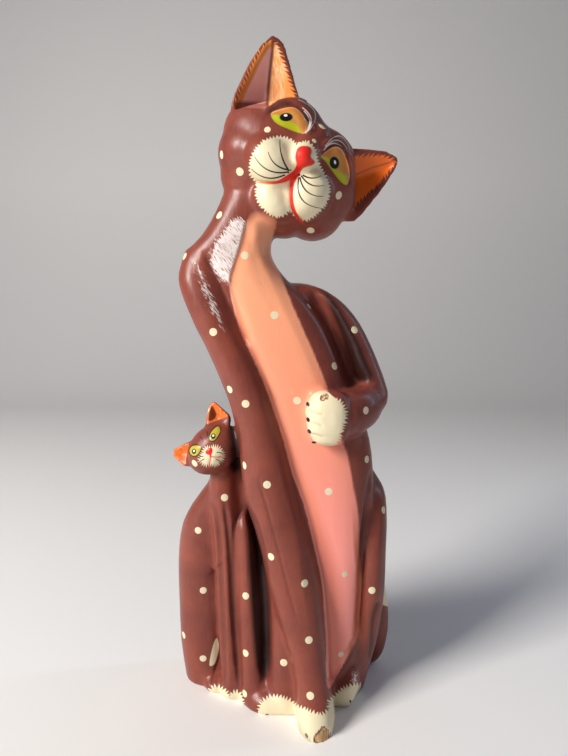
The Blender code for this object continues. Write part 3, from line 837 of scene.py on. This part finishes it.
# %% Nodes
def linear(code):
    """An sRGB hex colour as the linear values that Blender's shaders take."""
    values = [int(code[index:index + 2], 16) / 255 for index in (0, 2, 4)]
    return [v / 12.92 if v <= 0.04045 else ((v + 0.055) / 1.055) ** 2.4 for v in values] + [1.0]


def add(tree, kind, settings, *inputs):
    """Add a node with its settings, or with the one word that says its operation.

    Each input is a value, a node or a socket to link, or None.
    """
    node = tree.nodes.new("ShaderNode" + kind)
    if isinstance(settings, str):
        settings = {"operation": settings}
    for name, value in settings.items():
        setattr(node, name, value)
    sockets = [socket for socket in node.inputs if socket.enabled]
    for socket, value in zip(sockets, inputs):
        if isinstance(value, bpy.types.Node):
            value = next(output for output in value.outputs if output.enabled)
        if isinstance(value, bpy.types.NodeSocket):
            tree.links.new(value, socket)
        elif value is not None:
            socket.default_value = value
    return node


BROWN = linear("844234")
BROWN_DEEP = linear("67302C")
BROWN_WARM = linear("96503B")
# A near black, laid on as painted shade in the grooves, the deep hollows and the kitten's ear
PAINTED_SHADE = linear("1E0B09")
PINK_ORANGE = linear("F2A47C")
PINK_ROSE = linear("E4816F")
PINK_HIGHLIGHT = linear("E79C92")
PINK_SHADE = linear("BE5A3C")
CREAM = linear("E1D5B3")
CREAM_SHADE = linear("B59F74")
CREAM_RING = linear("D8CFAD")
# Ear colours: the rose is partly painted light, the peach is a painted sheen and the lower orange is painted
# shade
EAR_ORANGE = linear("E68A3E")
EAR_SHEEN = linear("F6CFA0")
EAR_ROSE_LIT = linear("FFBCB2")
EAR_UPPER = linear("F07124")
EAR_ORANGE_SHADED = linear("EA6D1A")
EAR_VALLEY = linear("7A3222")
EYE_ORANGE = linear("D07A30")
EYE_TAN = linear("B88242")
EYE_GREEN = linear("A9AC1C")
EYE_LID_HIGHLIGHT = linear("EBCF9C")
EYE_YELLOW = linear("B8A83A")
MOUTH_ORANGE = linear("DE7434")
RED_PAINT = linear("DC2B1D")
BLACK = linear("121114")
WHITE = linear("F4EFE6")
ARC_GREY = linear("D8CFC6")
PINK_WORN = linear("B8603C")
PINK_LIT = linear("FF9E92")
# Whitish paint that stands for a highlight on the glossy paint
PAINTED_HIGHLIGHT = linear("E9DEDA")
WOOD = linear("DDB280")
WOOD_DARK = linear("5E3A28")


def group(name, inputs, outputs):
    """An empty node group with the named inputs and outputs."""
    tree = bpy.data.node_groups.new(name, "ShaderNodeTree")
    for word, kind in inputs:
        tree.interface.new_socket(word, in_out="INPUT", socket_type="NodeSocket" + kind)
    for word, kind in outputs:
        tree.interface.new_socket(word, in_out="OUTPUT", socket_type="NodeSocket" + kind)
    return tree, tree.nodes.new("NodeGroupInput"), tree.nodes.new("NodeGroupOutput")


def picture_place():
    """A group that turns a place of the carving into the picture's pixels, as `seen` does."""
    tree, _, out = group("place_in_picture", [], [("At", "Vector")])
    place = add(tree, "TexCoord", {})
    away = add(tree, "VectorMath", "SUBTRACT", place.outputs["Object"], EYE)
    depth = add(tree, "VectorMath", "DOT_PRODUCT", away, LOOK.tolist())
    rise = add(tree, "VectorMath", "DOT_PRODUCT", away, RISE.tolist())
    right = add(tree, "VectorMath", "DOT_PRODUCT", away, (1.0, 0.0, 0.0))
    across = add(tree, "Math", "DIVIDE", right.outputs["Value"], depth.outputs["Value"])
    up = add(tree, "Math", "DIVIDE", rise.outputs["Value"], depth.outputs["Value"])
    x = add(tree, "Math", "MULTIPLY_ADD", across, FOCAL_PIXELS, PICTURE_WIDE / 2)
    y = add(tree, "Math", "MULTIPLY_ADD", up, -FOCAL_PIXELS, PICTURE_TALL / 2)
    both = add(tree, "CombineXYZ", {}, x, y)
    tree.links.new(both.outputs[0], out.inputs[0])
    return tree


def ragged_edge():
    """A group that gives an area a nicked edge: uneven triangular teeth along it, leaning by the slant."""
    inputs = [("Distance", "Float"), ("Along", "Float"), ("Teeth", "Float"), ("Pitch", "Float"),
              ("Reach", "Float"), ("Slant", "Float"), ("Softness", "Float")]
    tree, given, out = group("nicked_edge", inputs, [("Mask", "Float")])
    distance, along, teeth, pitch, reach, slant, softness = given.outputs[:7]
    uneven = add(tree, "TexNoise", {"noise_dimensions": "1D"}, along, 0.16, 1.0, 0.5)
    lean = add(tree, "Math", "MULTIPLY_ADD", distance, slant, along)
    shift = add(tree, "Math", "MULTIPLY_ADD", uneven, pitch, lean)
    half = add(tree, "Math", "MULTIPLY", pitch, 0.5)
    wave = add(tree, "Math", "PINGPONG", shift, half)
    share = add(tree, "Math", "DIVIDE", wave, half)
    tooth = add(tree, "Math", "SUBTRACT", share, 0.5)
    size = add(tree, "Math", "MULTIPLY_ADD", uneven, 1.0, 0.5)
    nicked_here = add(tree, "Math", "MULTIPLY", size, teeth)
    deep = add(tree, "Math", "MULTIPLY", nicked_here, reach)
    edge = add(tree, "Math", "MULTIPLY_ADD", tooth, deep, distance)
    scaled = add(tree, "Math", "DIVIDE", edge, softness)
    mask = add(tree, "Math", {"operation": "ADD", "use_clamp": True}, scaled, 0.5)
    tree.links.new(mask.outputs[0], out.inputs[0])
    return tree


def brush_stroke():
    """A group that draws one bowed, tapering stroke of a fine brush."""
    inputs = [("At", "Vector"), ("Start", "Vector"), ("Along", "Vector"), ("Across", "Vector"),
              ("Length", "Float"), ("Sag", "Float"), ("Half Width", "Float"), ("Taper", "Float")]
    tree, given, out = group("brush_stroke", inputs, [("Mask", "Float")])
    at, start, along, across, length, sag, width, taper = given.outputs[:8]
    away = add(tree, "VectorMath", "SUBTRACT", at, start)
    run = add(tree, "VectorMath", "DOT_PRODUCT", away, along).outputs["Value"]
    side = add(tree, "VectorMath", "DOT_PRODUCT", away, across).outputs["Value"]
    t = add(tree, "Math", {"operation": "ADD", "use_clamp": True}, run, 0.0)
    rest = add(tree, "Math", "SUBTRACT", 1.0, t)
    bow = add(tree, "Math", "MULTIPLY", t, rest)
    sagging = add(tree, "Math", "MULTIPLY", bow, sag)
    off = add(tree, "Math", "MULTIPLY_ADD", sagging, -4.0, side)
    over = add(tree, "Math", "SUBTRACT", run, t)
    past = add(tree, "Math", "MULTIPLY", over, length)
    both = add(tree, "CombineXYZ", {}, off, past)
    gap = add(tree, "VectorMath", "LENGTH", both).outputs["Value"]
    thinning = add(tree, "Math", "MULTIPLY", t, taper)
    share = add(tree, "Math", "SUBTRACT", 1.0, thinning)
    half = add(tree, "Math", "MULTIPLY", share, width)
    inside = add(tree, "Math", "SUBTRACT", half, gap)
    mask = add(tree, "Math", {"operation": "MULTIPLY_ADD", "use_clamp": True}, inside, 2.0, 0.5)
    tree.links.new(mask.outputs[0], out.inputs[0])
    return tree


def round_spot():
    """A group that draws one oval spot of paint."""
    inputs = [("At", "Vector"), ("Centre", "Vector"), ("Size", "Vector"), ("Turn", "Float")]
    tree, given, out = group("round_spot", inputs, [("Mask", "Float")])
    at, centre, size, turn = given.outputs[:4]
    away = add(tree, "VectorMath", "SUBTRACT", at, centre)
    turned = tree.nodes.new("ShaderNodeVectorRotate")
    turned.rotation_type = "Z_AXIS"
    tree.links.new(away.outputs[0], turned.inputs["Vector"])
    tree.links.new(turn, turned.inputs["Angle"])
    share = add(tree, "VectorMath", "DIVIDE", turned, size)
    length = add(tree, "VectorMath", "LENGTH", share).outputs["Value"]
    inside = add(tree, "Math", "SUBTRACT", 1.0, length)
    mask = add(tree, "Math", {"operation": "MULTIPLY", "use_clamp": True}, inside, 6.0)
    tree.links.new(mask.outputs[0], out.inputs[0])
    return tree


PLACE_IN_PICTURE = picture_place()
NICKED_EDGE = ragged_edge()
BRUSH_STROKE = brush_stroke()
ROUND_SPOT = round_spot()

# %% [markdown]
# Paint is laid on in layers: a mask says where each one lies, from 0 to 1, and `over` lays its colour on
# what is there already. The masks come from the marks on the skin, from heights and from brush streaks.

# %% Masks and layers of paint
def first(node):
    """The output of a node that is in use."""
    return next(output for output in node.outputs if output.enabled)


def layer(tree, name):
    """A mark that is kept on the skin."""
    return add(tree, "Attribute", {"attribute_name": name}).outputs["Fac"]


def over(tree, below, mask, top):
    """Lay one colour over another where the mask says."""
    return add(tree, "Mix", {"data_type": "RGBA"}, mask, below, top)


def any_of(tree, masks):
    """The strongest of several masks."""
    strongest = masks[0]
    for mask in masks[1:]:
        strongest = add(tree, "Math", "MAXIMUM", strongest, mask)
    return strongest


def both_of(tree, one, other):
    """Where two masks overlap."""
    return add(tree, "Math", "MINIMUM", one, other)


def opposite(tree, mask):
    """Everywhere that a mask isn't."""
    return add(tree, "Math", "SUBTRACT", 1.0, mask)


def thinned(tree, mask, share):
    """A mask at a share of its strength."""
    return add(tree, "Math", "MULTIPLY", mask, share)


def rising(tree, value, slope, start):
    """A mask that rises with a value and stays between 0 and 1."""
    return add(tree, "Math", {"operation": "MULTIPLY_ADD", "use_clamp": True}, value, slope, start)


def soft(tree, distance, width, shift=0.0):
    """1 well inside an area and 0 outside, over a soft width in the same unit."""
    moved = add(tree, "Math", "ADD", distance, shift)
    return rising(tree, moved, 1.0 / width, 0.5)


def beyond(tree, value, edge, width):
    """0 where a value is well under an edge and 1 where it is well over it."""
    return soft(tree, value, width, -edge)


# %% [markdown]
# The fine brushwork of the faces: whiskers, the pale arcs over the eyes, claws and pupils, and the
# white glints on the pupils, which are painted highlights. A stroke is given by its start, its middle and
# its end, with the brush's half width. The brush only reached what faces the front, so the back of the heads
# stays plain.

# %% Brushwork
WHISKERS = [
    ((288.6, 170.2), (282.4, 158), (280, 139.6)), ((288.2, 169.8), (275.6, 164.4), (268.2, 152.2)),
    ((288, 172), (270.4, 171), (254.5, 156.5)), ((284.2, 175.1), (269.6, 178.2), (251.5, 169)),
    ((303.5, 175.5), (312.1, 178.1), (320.8, 175.9)), ((301.8, 176.3), (310.4, 184.4), (323.8, 185.4)),
    ((300.1, 178.1), (307.6, 192), (322.9, 196.4)), ((298.8, 178.1), (303.4, 201), (320.8, 208.2)),
]
WHISKER_WIDTH = 0.95
WHISKER_ROOTS = [
    ((290.6, 170.1), (1.1, 0.8), 20.0), ((288.5, 172.5), (1.0, 0.7), 0.0), ((299.2, 174.9), (1.5, 1.2), 60.0),
]
ARCS = [
    ((299, 100), (315.6, 116.6), (305.6, 133.4)), ((302.7, 107.9), (311.2, 120.6), (306, 133)),
    ((304.4, 111.4), (309.8, 122), (305.4, 132.8)), ((304.6, 119), (308.2, 126), (305, 132.6)),
    ((325.6, 145.4), (334.6, 137), (349.6, 149.6)), ((326, 146.6), (334.6, 140.4), (347, 149)),
    ((324.2, 149.9), (332, 143.6), (341.4, 146)),
]
ARC_WIDTH = 0.65
KITTEN_HAIRS = [
    ((207, 431.6), (207.6, 435), (206, 438.8)), ((200, 437), (202.4, 439), (203, 442)),
    ((204, 459), (201, 461), (199, 464)), ((216, 459.6), (219.6, 461), (222, 463.6)),
    ((203, 456.4), (200.6, 456.6), (198.6, 458)), ((217, 452.4), (220, 452.6), (223, 454.4)),
]
HAIR_WIDTH = 0.45
CLAWS = [
    ((307.8, 404.2), (1.9, 2.7), 20.0), ((308, 419.6), (1.8, 2.8), 28.0), ((309.2, 431.4), (1.7, 2.8), 35.0),
    ((314, 442.4), (2.6, 1.2), 0.0), ((306.5, 735.7), (1.4, 2.8), 25.0),
    ((267, 714.6), (1.8, 0.9), 0.0), ((285.8, 716.6), (1.8, 0.9), 0.0), ((337.6, 709.6), (1.6, 1.1), 20.0),
    ((350.4, 701.4), (1.0, 1.6), 20.0), ((211.6, 696.6), (1.5, 0.9), 0.0), ((219.8, 698.6), (1.5, 0.9), 0.0),
    ((232, 700.6), (1.4, 0.9), 0.0), ((238.4, 701.4), (1.4, 0.9), 0.0),
]
PUPILS = [
    ((286.2, 117.2), (7.2, 4.5), 3.0), ((334.4, 162.8), (5.2, 6.8), 8.0),
    ((213.2, 436.2), (2.6, 3.0), -20.0), ((194.0, 451.4), (2.3, 2.9), 0.0),
]
# Painted highlights: the white glints on the pupils
GLINTS = [
    ((285.6, 115.4), (2.1, 1.3), 0.0), ((335.0, 162.2), (1.2, 2.2), 10.0),
    ((213.3, 435.6), (1.2, 1.3), 0.0), ((194.0, 450.9), (1.0, 1.2), 0.0),
]


def strokes(tree, at, lines, half_width, taper):
    masks = []
    for start, middle, end in lines:
        first, last = Vector(start), Vector(end)
        span = last - first
        length = span.length
        along = span / length
        across = Vector((-along.y, along.x))
        share = min(max((Vector(middle) - first).dot(along) / length, 0.25), 0.75)
        sag = (Vector(middle) - first).dot(across) / (4 * share * (1 - share))
        masks.append(add(
            tree, "Group", {"node_tree": BRUSH_STROKE}, at, (*first, 0.0), (*(along / length), 0.0),
            (*across, 0.0), length, sag, half_width, taper,
        ))
    return both_of(tree, any_of(tree, masks), layer(tree, "front"))


def spots(tree, at, ovals):
    masks = []
    for centre, size, turn in ovals:
        masks.append(add(
            tree, "Group", {"node_tree": ROUND_SPOT}, at, (*centre, 0.0), (*size, 1.0), math.radians(turn),
        ))
    return both_of(tree, any_of(tree, masks), layer(tree, "front"))


# %% [markdown]
# The whole coat. Each paint goes over the one before, as the painter laid them: brown, the pink strip,
# the ears, the cream, the eyes, the reds, the black lines, and last the dots. Painted shade in the grooves
# and hollows, and painted highlights on the neck, shoulder, pink edge, ears, lids and pupils, go in among
# them.

# %% The coat of paint
SCRATCH_SLANT = math.radians(-40.0)


def nicked(tree, name, pitch, reach, slant, softness=0.8):
    return add(
        tree, "Group", {"node_tree": NICKED_EDGE}, layer(tree, name), layer(tree, name + "_along"),
        layer(tree, name + "_teeth"), pitch, reach, slant, softness,
    )


def brown_coat(tree, place, streak):
    """Brown, cloudy and streaked by the brush, with painted shade in the knife's grooves and nearly black
    painted shade in the deep hollows.
    """
    clouds = first(add(tree, "TexNoise", {"noise_dimensions": "3D"}, place, 28.0, 4.0, 0.6))
    colour = over(tree, BROWN_DEEP, beyond(tree, clouds, 0.42, 0.45), BROWN)
    warm = rising(tree, streak, 0.6, -0.22)
    colour = over(tree, colour, warm, BROWN_WARM)
    # Painted shade darkens the knife's grooves, more where they are deeper
    groove_shade = rising(tree, layer(tree, "sunk"), 0.2, 0.0)
    colour = over(tree, colour, groove_shade, PAINTED_SHADE)
    # Painted shade, nearly black, in the deep hollows
    hollow = thinned(tree, beyond(tree, layer(tree, "hollow"), 1.2, 5.0), 0.93)
    return over(tree, colour, hollow, PAINTED_SHADE)


def pink_strip(tree, place, streak, colour):
    """Pink, more orange above and rosier below, crisp at its cut left edge and brushed out at its right, with
    painted light on its right and a painted highlight and painted shade along its left edge.
    """
    height = add(tree, "SeparateXYZ", {}, place).outputs["Z"]
    higher = rising(tree, height, 4.0, -0.6)
    pink = over(tree, PINK_ROSE, higher, PINK_ORANGE)
    step = layer(tree, "pink_step")
    # Painted light: paler pink low on the right, where the strip turns away from the light
    turned = both_of(tree, beyond(tree, step, 17.0, 12.0), rising(tree, height, -8.0, 2.2))
    pink = over(tree, pink, turned, PINK_LIT)
    shadow = both_of(tree, beyond(tree, step, 2.0, 1.6), opposite(tree, beyond(tree, step, 5.4, 3.0)))
    low = rising(tree, height, -8.0, 3.7)
    shadow = add(tree, "Math", "MULTIPLY", shadow, low)
    pink = over(tree, pink, thinned(tree, shadow, 0.55), PINK_SHADE)
    # A painted highlight on the lit corner of the step
    corner = both_of(tree, opposite(tree, beyond(tree, step, 1.8, 1.4)), low)
    pink = over(tree, pink, thinned(tree, corner, 0.7), PINK_HIGHLIGHT)
    wander = add(tree, "Math", "MULTIPLY_ADD", streak, 2.6, layer(tree, "pink"))
    sharp = soft(tree, wander, 1.4, -1.5)
    blurred = soft(tree, wander, 2.6, -0.9)
    worn = both_of(tree, beyond(tree, step, 20.0, 8.0), opposite(tree, beyond(tree, wander, 6.0, 3.0)))
    worn = both_of(tree, worn, rising(tree, height, -22.0, 4.4))
    pink = over(tree, pink, thinned(tree, worn, 0.8), PINK_WORN)
    mask = add(tree, "Mix", {"data_type": "FLOAT"}, beyond(tree, step, 20.0, 8.0), sharp, blurred)
    thin = soft(tree, wander, 9.0, -4.0)
    mask = add(tree, "Mix", {"data_type": "FLOAT"}, beyond(tree, height, 0.44, 0.016), mask, thin)
    return over(tree, colour, mask, pink)


def painted_ears(tree, place, streak, colour):
    """Ears with long slanting nicks: rose made light as painted light and orange with a painted peach sheen
    in the upper one, with painted shade along its fold and at its foot, and two oranges in the other, the
    lower one darker as painted shade.
    """
    above_foot = beyond(tree, layer(tree, "ear_base"), 0.0, 1.0)
    inside = both_of(tree, nicked(tree, "ear", 5.0, 4.6, 1.0), above_foot)
    fold = layer(tree, "fold")
    left_or_low = beyond(tree, fold, 0.0, 1.6)
    # Rose paint, made light as painted light on this plane
    left = over(tree, EAR_ORANGE, beyond(tree, layer(tree, "ear"), 6.0, 2.6), EAR_ROSE_LIT)
    # A painted sheen: peach streaks along the fold
    sheen = rising(tree, streak, 2.4, -0.85)
    near_fold = both_of(tree, sheen, beyond(tree, fold, -14.0, 8.0))
    right = over(tree, EAR_ORANGE, near_fold, EAR_SHEEN)
    upper = over(tree, right, left_or_low, left)
    off_valley = add(tree, "Math", "ABSOLUTE", fold)
    # Painted shade down the fold
    valley = opposite(tree, beyond(tree, off_valley, 1.6, 1.8))
    upper = over(tree, upper, thinned(tree, valley, 0.9), EAR_VALLEY)
    # Painted shade at the foot of the ear
    foot = opposite(tree, beyond(tree, layer(tree, "ear_base"), 6.0, 4.0))
    foot = thinned(tree, both_of(tree, foot, left_or_low), 0.85)
    upper = over(tree, upper, foot, EAR_VALLEY)
    # Painted shade: the side ear's lower half in a darker orange, and its fold darker still
    lower = over(tree, EAR_UPPER, left_or_low, EAR_ORANGE_SHADED)
    crease = opposite(tree, beyond(tree, off_valley, 0.9, 1.0))
    lower = over(tree, lower, thinned(tree, crease, 0.45), EAR_VALLEY)
    ear = over(tree, lower, layer(tree, "upper_ear"), upper)
    colour = over(tree, colour, inside, ear)
    small = both_of(
        tree, nicked(tree, "small_ear", 2.6, 2.0, 0.6), beyond(tree, layer(tree, "small_ear_base"), 0.0, 0.8))
    shade = thinned(tree, beyond(tree, layer(tree, "ear_shade"), 0.4, 1.2), 0.85)
    thin = rising(tree, streak, 4.0, -1.8)
    small_ear = over(tree, EAR_UPPER, thinned(tree, thin, 0.65), EAR_VALLEY)
    return over(tree, colour, small, over(tree, small_ear, shade, PAINTED_SHADE))


def painted_eyes(tree, at, colour):
    """Eyes: tan, green below, a bright orange lid with a fine pale painted highlight along it, and black
    pupils with glints that are painted highlights.
    """
    depth = layer(tree, "eye")
    green = layer(tree, "green")
    iris = over(tree, EYE_TAN, soft(tree, green, 2.0), EYE_GREEN)
    off_green = opposite(tree, beyond(tree, green, -2.0, 2.0))
    lid = both_of(tree, off_green, opposite(tree, beyond(tree, depth, 3.6, 1.6)))
    iris = over(tree, iris, lid, EYE_ORANGE)
    # A painted highlight: the fine pale line along the lid's edge
    line = both_of(tree, off_green, opposite(tree, beyond(tree, depth, 1.1, 0.6)))
    iris = over(tree, iris, thinned(tree, line, 0.4), EYE_LID_HIGHLIGHT)
    colour = over(tree, colour, soft(tree, depth, 0.8), iris)
    small = layer(tree, "small_eye")
    colour = over(tree, colour, beyond(tree, small, -0.5, 0.6), BLACK)
    colour = over(tree, colour, beyond(tree, small, 0.5, 0.6), EYE_YELLOW)
    colour = over(tree, colour, strokes(tree, at, ARCS, ARC_WIDTH, 0.5), ARC_GREY)
    colour = over(tree, colour, spots(tree, at, PUPILS), BLACK)
    # Painted highlights: the glints on the pupils
    return over(tree, colour, spots(tree, at, GLINTS), WHITE)


def bare_wood(tree, streak, colour):
    """Chips: torn wood, with dark broken paint round it."""
    wander = add(tree, "Math", "MULTIPLY_ADD", streak, 6.0, layer(tree, "bare"))
    colour = over(tree, colour, beyond(tree, wander, 2.4, 0.8), WOOD_DARK)
    grain = rising(tree, streak, 1.6, 0.0)
    return over(tree, colour, beyond(tree, wander, 3.6, 1.0), over(tree, WOOD_DARK, grain, WOOD))


def gloss_paint():
    material = bpy.data.materials.new("brushed_gloss_paint_on_wood")
    material.use_nodes = True
    tree = material.node_tree
    shader = tree.nodes["Principled BSDF"]
    place = add(tree, "TexCoord", {}).outputs["Object"]
    at = add(tree, "Group", {"node_tree": PLACE_IN_PICTURE})

    # Long brush strokes, about 1.5 mm wide and ten times as long
    stretched = add(tree, "Mapping", {}, place, (0, 0, 0), (0, 0.25, 0), (1.0, 1.0, 0.10))
    streak = first(add(tree, "TexNoise", {"noise_dimensions": "3D"}, stretched, 650.0, 3.0, 0.6))
    colour = brown_coat(tree, place, streak)

    # A painted highlight where the gloss catches the light, broken into fine slanting lines like scratches
    slanted = add(
        tree, "Mapping", {"vector_type": "TEXTURE"}, place, (0, 0, 0), (0, SCRATCH_SLANT, 0), (1.0, 1.0, 9.0))
    scratch = first(add(tree, "TexNoise", {"noise_dimensions": "3D"}, slanted, 1500.0, 2.0, 0.6))
    highlight_area = beyond(tree, layer(tree, "highlight_patch"), 1.5, 6.0)
    highlight_depth = add(tree, "Math", "MINIMUM", layer(tree, "highlight_patch"), 6.0)
    cover = add(tree, "Math", "MULTIPLY_ADD", highlight_depth, 0.4, -5.1)
    lines = rising(tree, scratch, 8.0, cover)
    colour = over(tree, colour, thinned(tree, lines, 0.9), PAINTED_HIGHLIGHT)

    colour = pink_strip(tree, place, streak, colour)
    colour = painted_ears(tree, place, streak, colour)
    cream = any_of(tree, [
        nicked(tree, "muzzle", 3.5, 2.8, 0.0), nicked(tree, "small_muzzle", 2.2, 4.0, 0.0),
        nicked(tree, "cream", 3.4, 4.4, 0.0),
    ])
    # Painted shade in the grooves of the cream toes and muzzle
    groove_shade = rising(tree, layer(tree, "sunk"), 0.55, 0.0)
    colour = over(tree, colour, cream, over(tree, CREAM, groove_shade, CREAM_SHADE))
    colour = painted_eyes(tree, at, colour)

    # Nose, mouths, whiskers and claws
    place_seen = add(tree, "SeparateXYZ", {}, at)
    across = place_seen.outputs["X"]
    down = place_seen.outputs["Y"]
    lips = over(tree, MOUTH_ORANGE, any_of(tree, [
        beyond(tree, across, 272.0, 12.0), beyond(tree, down, 300.0, 1.0)]), RED_PAINT)
    colour = over(tree, colour, soft(tree, layer(tree, "red"), 0.9), lips)
    for mask in (
        strokes(tree, at, WHISKERS, WHISKER_WIDTH, 0.62), strokes(tree, at, KITTEN_HAIRS, HAIR_WIDTH, 0.3),
        spots(tree, at, WHISKER_ROOTS), spots(tree, at, CLAWS),
    ):
        colour = over(tree, colour, mask, BLACK)
    colour = bare_wood(tree, streak, colour)

    # Dots, each with the faint ring that the end of the stick leaves
    outside = layer(tree, "dots")
    dot = rising(tree, outside, -3.0, 0.5)
    off_ring = add(tree, "Math", "ABSOLUTE", add(tree, "Math", "ADD", outside, RING_DEPTH_MM))
    ring = opposite(tree, beyond(tree, off_ring, 0.3, 0.5))
    colour = over(tree, colour, dot, over(tree, CREAM, ring, CREAM_RING))

    # The gloss: slick where the paint is thick, duller on the cream and bare wood
    tree.links.new(first(colour), shader.inputs["Base Color"])
    rough = add(tree, "Math", "MULTIPLY_ADD", streak, 0.30, 0.22)
    rough = add(tree, "Math", "MULTIPLY_ADD", cream, 0.12, rough)
    rough = add(tree, "Math", "MULTIPLY_ADD", highlight_area, -0.12, rough)
    dull = any_of(tree, [
        beyond(tree, layer(tree, "hollow"), -1.0, 4.0), beyond(tree, layer(tree, "sunk"), 0.8, 1.0),
        beyond(tree, layer(tree, "bare"), 0.0, 1.0)])
    rough = rising(tree, dull, 0.15, rough)
    tree.links.new(rough.outputs[0], shader.inputs["Roughness"])
    shader.inputs["Specular IOR Level"].default_value = 0.28
    shader.inputs["Coat Weight"].default_value = 0.08
    shader.inputs["Coat Roughness"].default_value = 0.16
    paint = add(tree, "Math", "MULTIPLY_ADD", dot, 0.8, streak)
    cuts = add(tree, "Math", "MULTIPLY", scratch, highlight_area)
    height = add(tree, "Math", "MULTIPLY_ADD", cuts, 2.5, paint)
    bump = add(tree, "Bump", {})
    bump.inputs["Strength"].default_value = 0.4
    bump.inputs["Distance"].default_value = 0.0003
    tree.links.new(height.outputs[0], bump.inputs["Height"])
    tree.links.new(bump.outputs[0], shader.inputs["Normal"])
    return material


cat.data.materials.clear()
cat.data.materials.append(gloss_paint())
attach(cat, "root")
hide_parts("cat_and_kitten")

# %% [markdown]
# A plain pale floor whose back edge curves up, and soft light from the front left, as from a wide
# window, with a narrow cool light behind on the right that picks out the glossy edges.

# %% Floor and light
FLOOR_HALF_WIDTH = 14.0
FLOOR_FRONT = -14.0
FLOOR_BACK = 1.8
CURVE_RADIUS = 1.2
CURVE_STEPS = 16
WALL_TOP = 3.5
WORLD_TINT = linear("CCD0E4")
WORLD_STRENGTH = 0.13

# Each light: its name, where it stands, what it faces, its size, its watts and its tint
LIGHTS = [
    ("window", (-1.95, -1.4, 1.5), (0, 0, 0.3), (0.95, 0.95), 107.0, "FFFBF6"),
    ("fill", (1.6, -1.4, 0.8), (0, 0, 0.3), (1.4, 1.4), 1.1, "CAD4FF"),
    ("edge", (1.0, 0.25, 0.75), (0, 0, 0.35), (0.07, 0.9), 2.0, "DCE8FF"),
]


def plain_floor():
    profile = [(FLOOR_FRONT, 0.0)]
    for step in range(CURVE_STEPS + 1):
        angle = 0.5 * math.pi * step / CURVE_STEPS
        profile.append((FLOOR_BACK + CURVE_RADIUS * math.sin(angle), CURVE_RADIUS * (1.0 - math.cos(angle))))
    profile.append((FLOOR_BACK + CURVE_RADIUS, WALL_TOP))
    bm = bmesh.new()
    rows = [[bm.verts.new((x, y, z)) for x in (-FLOOR_HALF_WIDTH, FLOOR_HALF_WIDTH)] for y, z in profile]
    for lower, upper in zip(rows, rows[1:]):
        bm.faces.new((lower[0], lower[1], upper[1], upper[0]))
    mesh = bpy.data.meshes.new("floor")
    bm.to_mesh(mesh)
    bm.free()
    mesh.shade_smooth()
    floor = bpy.data.objects.new("floor", mesh)
    bpy.context.scene.collection.objects.link(floor)
    material = bpy.data.materials.new("pale_floor")
    material.use_nodes = True
    shader = material.node_tree.nodes["Principled BSDF"]
    shader.inputs["Base Color"].default_value = linear("F4F3F1")
    shader.inputs["Roughness"].default_value = 0.7
    mesh.materials.append(material)
    return floor


def soft_light(name, place, target, size, watts, tint):
    data = bpy.data.lights.new(name, "AREA")
    data.shape = "RECTANGLE"
    data.size, data.size_y = size
    data.energy = watts
    data.color = linear(tint)[:3]
    lamp = bpy.data.objects.new(name, data)
    lamp.location = place
    lamp.rotation_euler = (Vector(target) - Vector(place)).to_track_quat("-Z", "Y").to_euler()
    bpy.context.scene.collection.objects.link(lamp)
    return lamp


plain_floor()
for light in LIGHTS:
    soft_light(*light)
world = bpy.data.worlds.new("studio")
bpy.context.scene.world = world
world.use_nodes = True
sky = world.node_tree.nodes["Background"]
sky.inputs["Color"].default_value = WORLD_TINT
sky.inputs["Strength"].default_value = WORLD_STRENGTH
bpy.context.scene.view_settings.view_transform = "Standard"
print("floor, lights:", ", ".join(light[0] for light in LIGHTS))
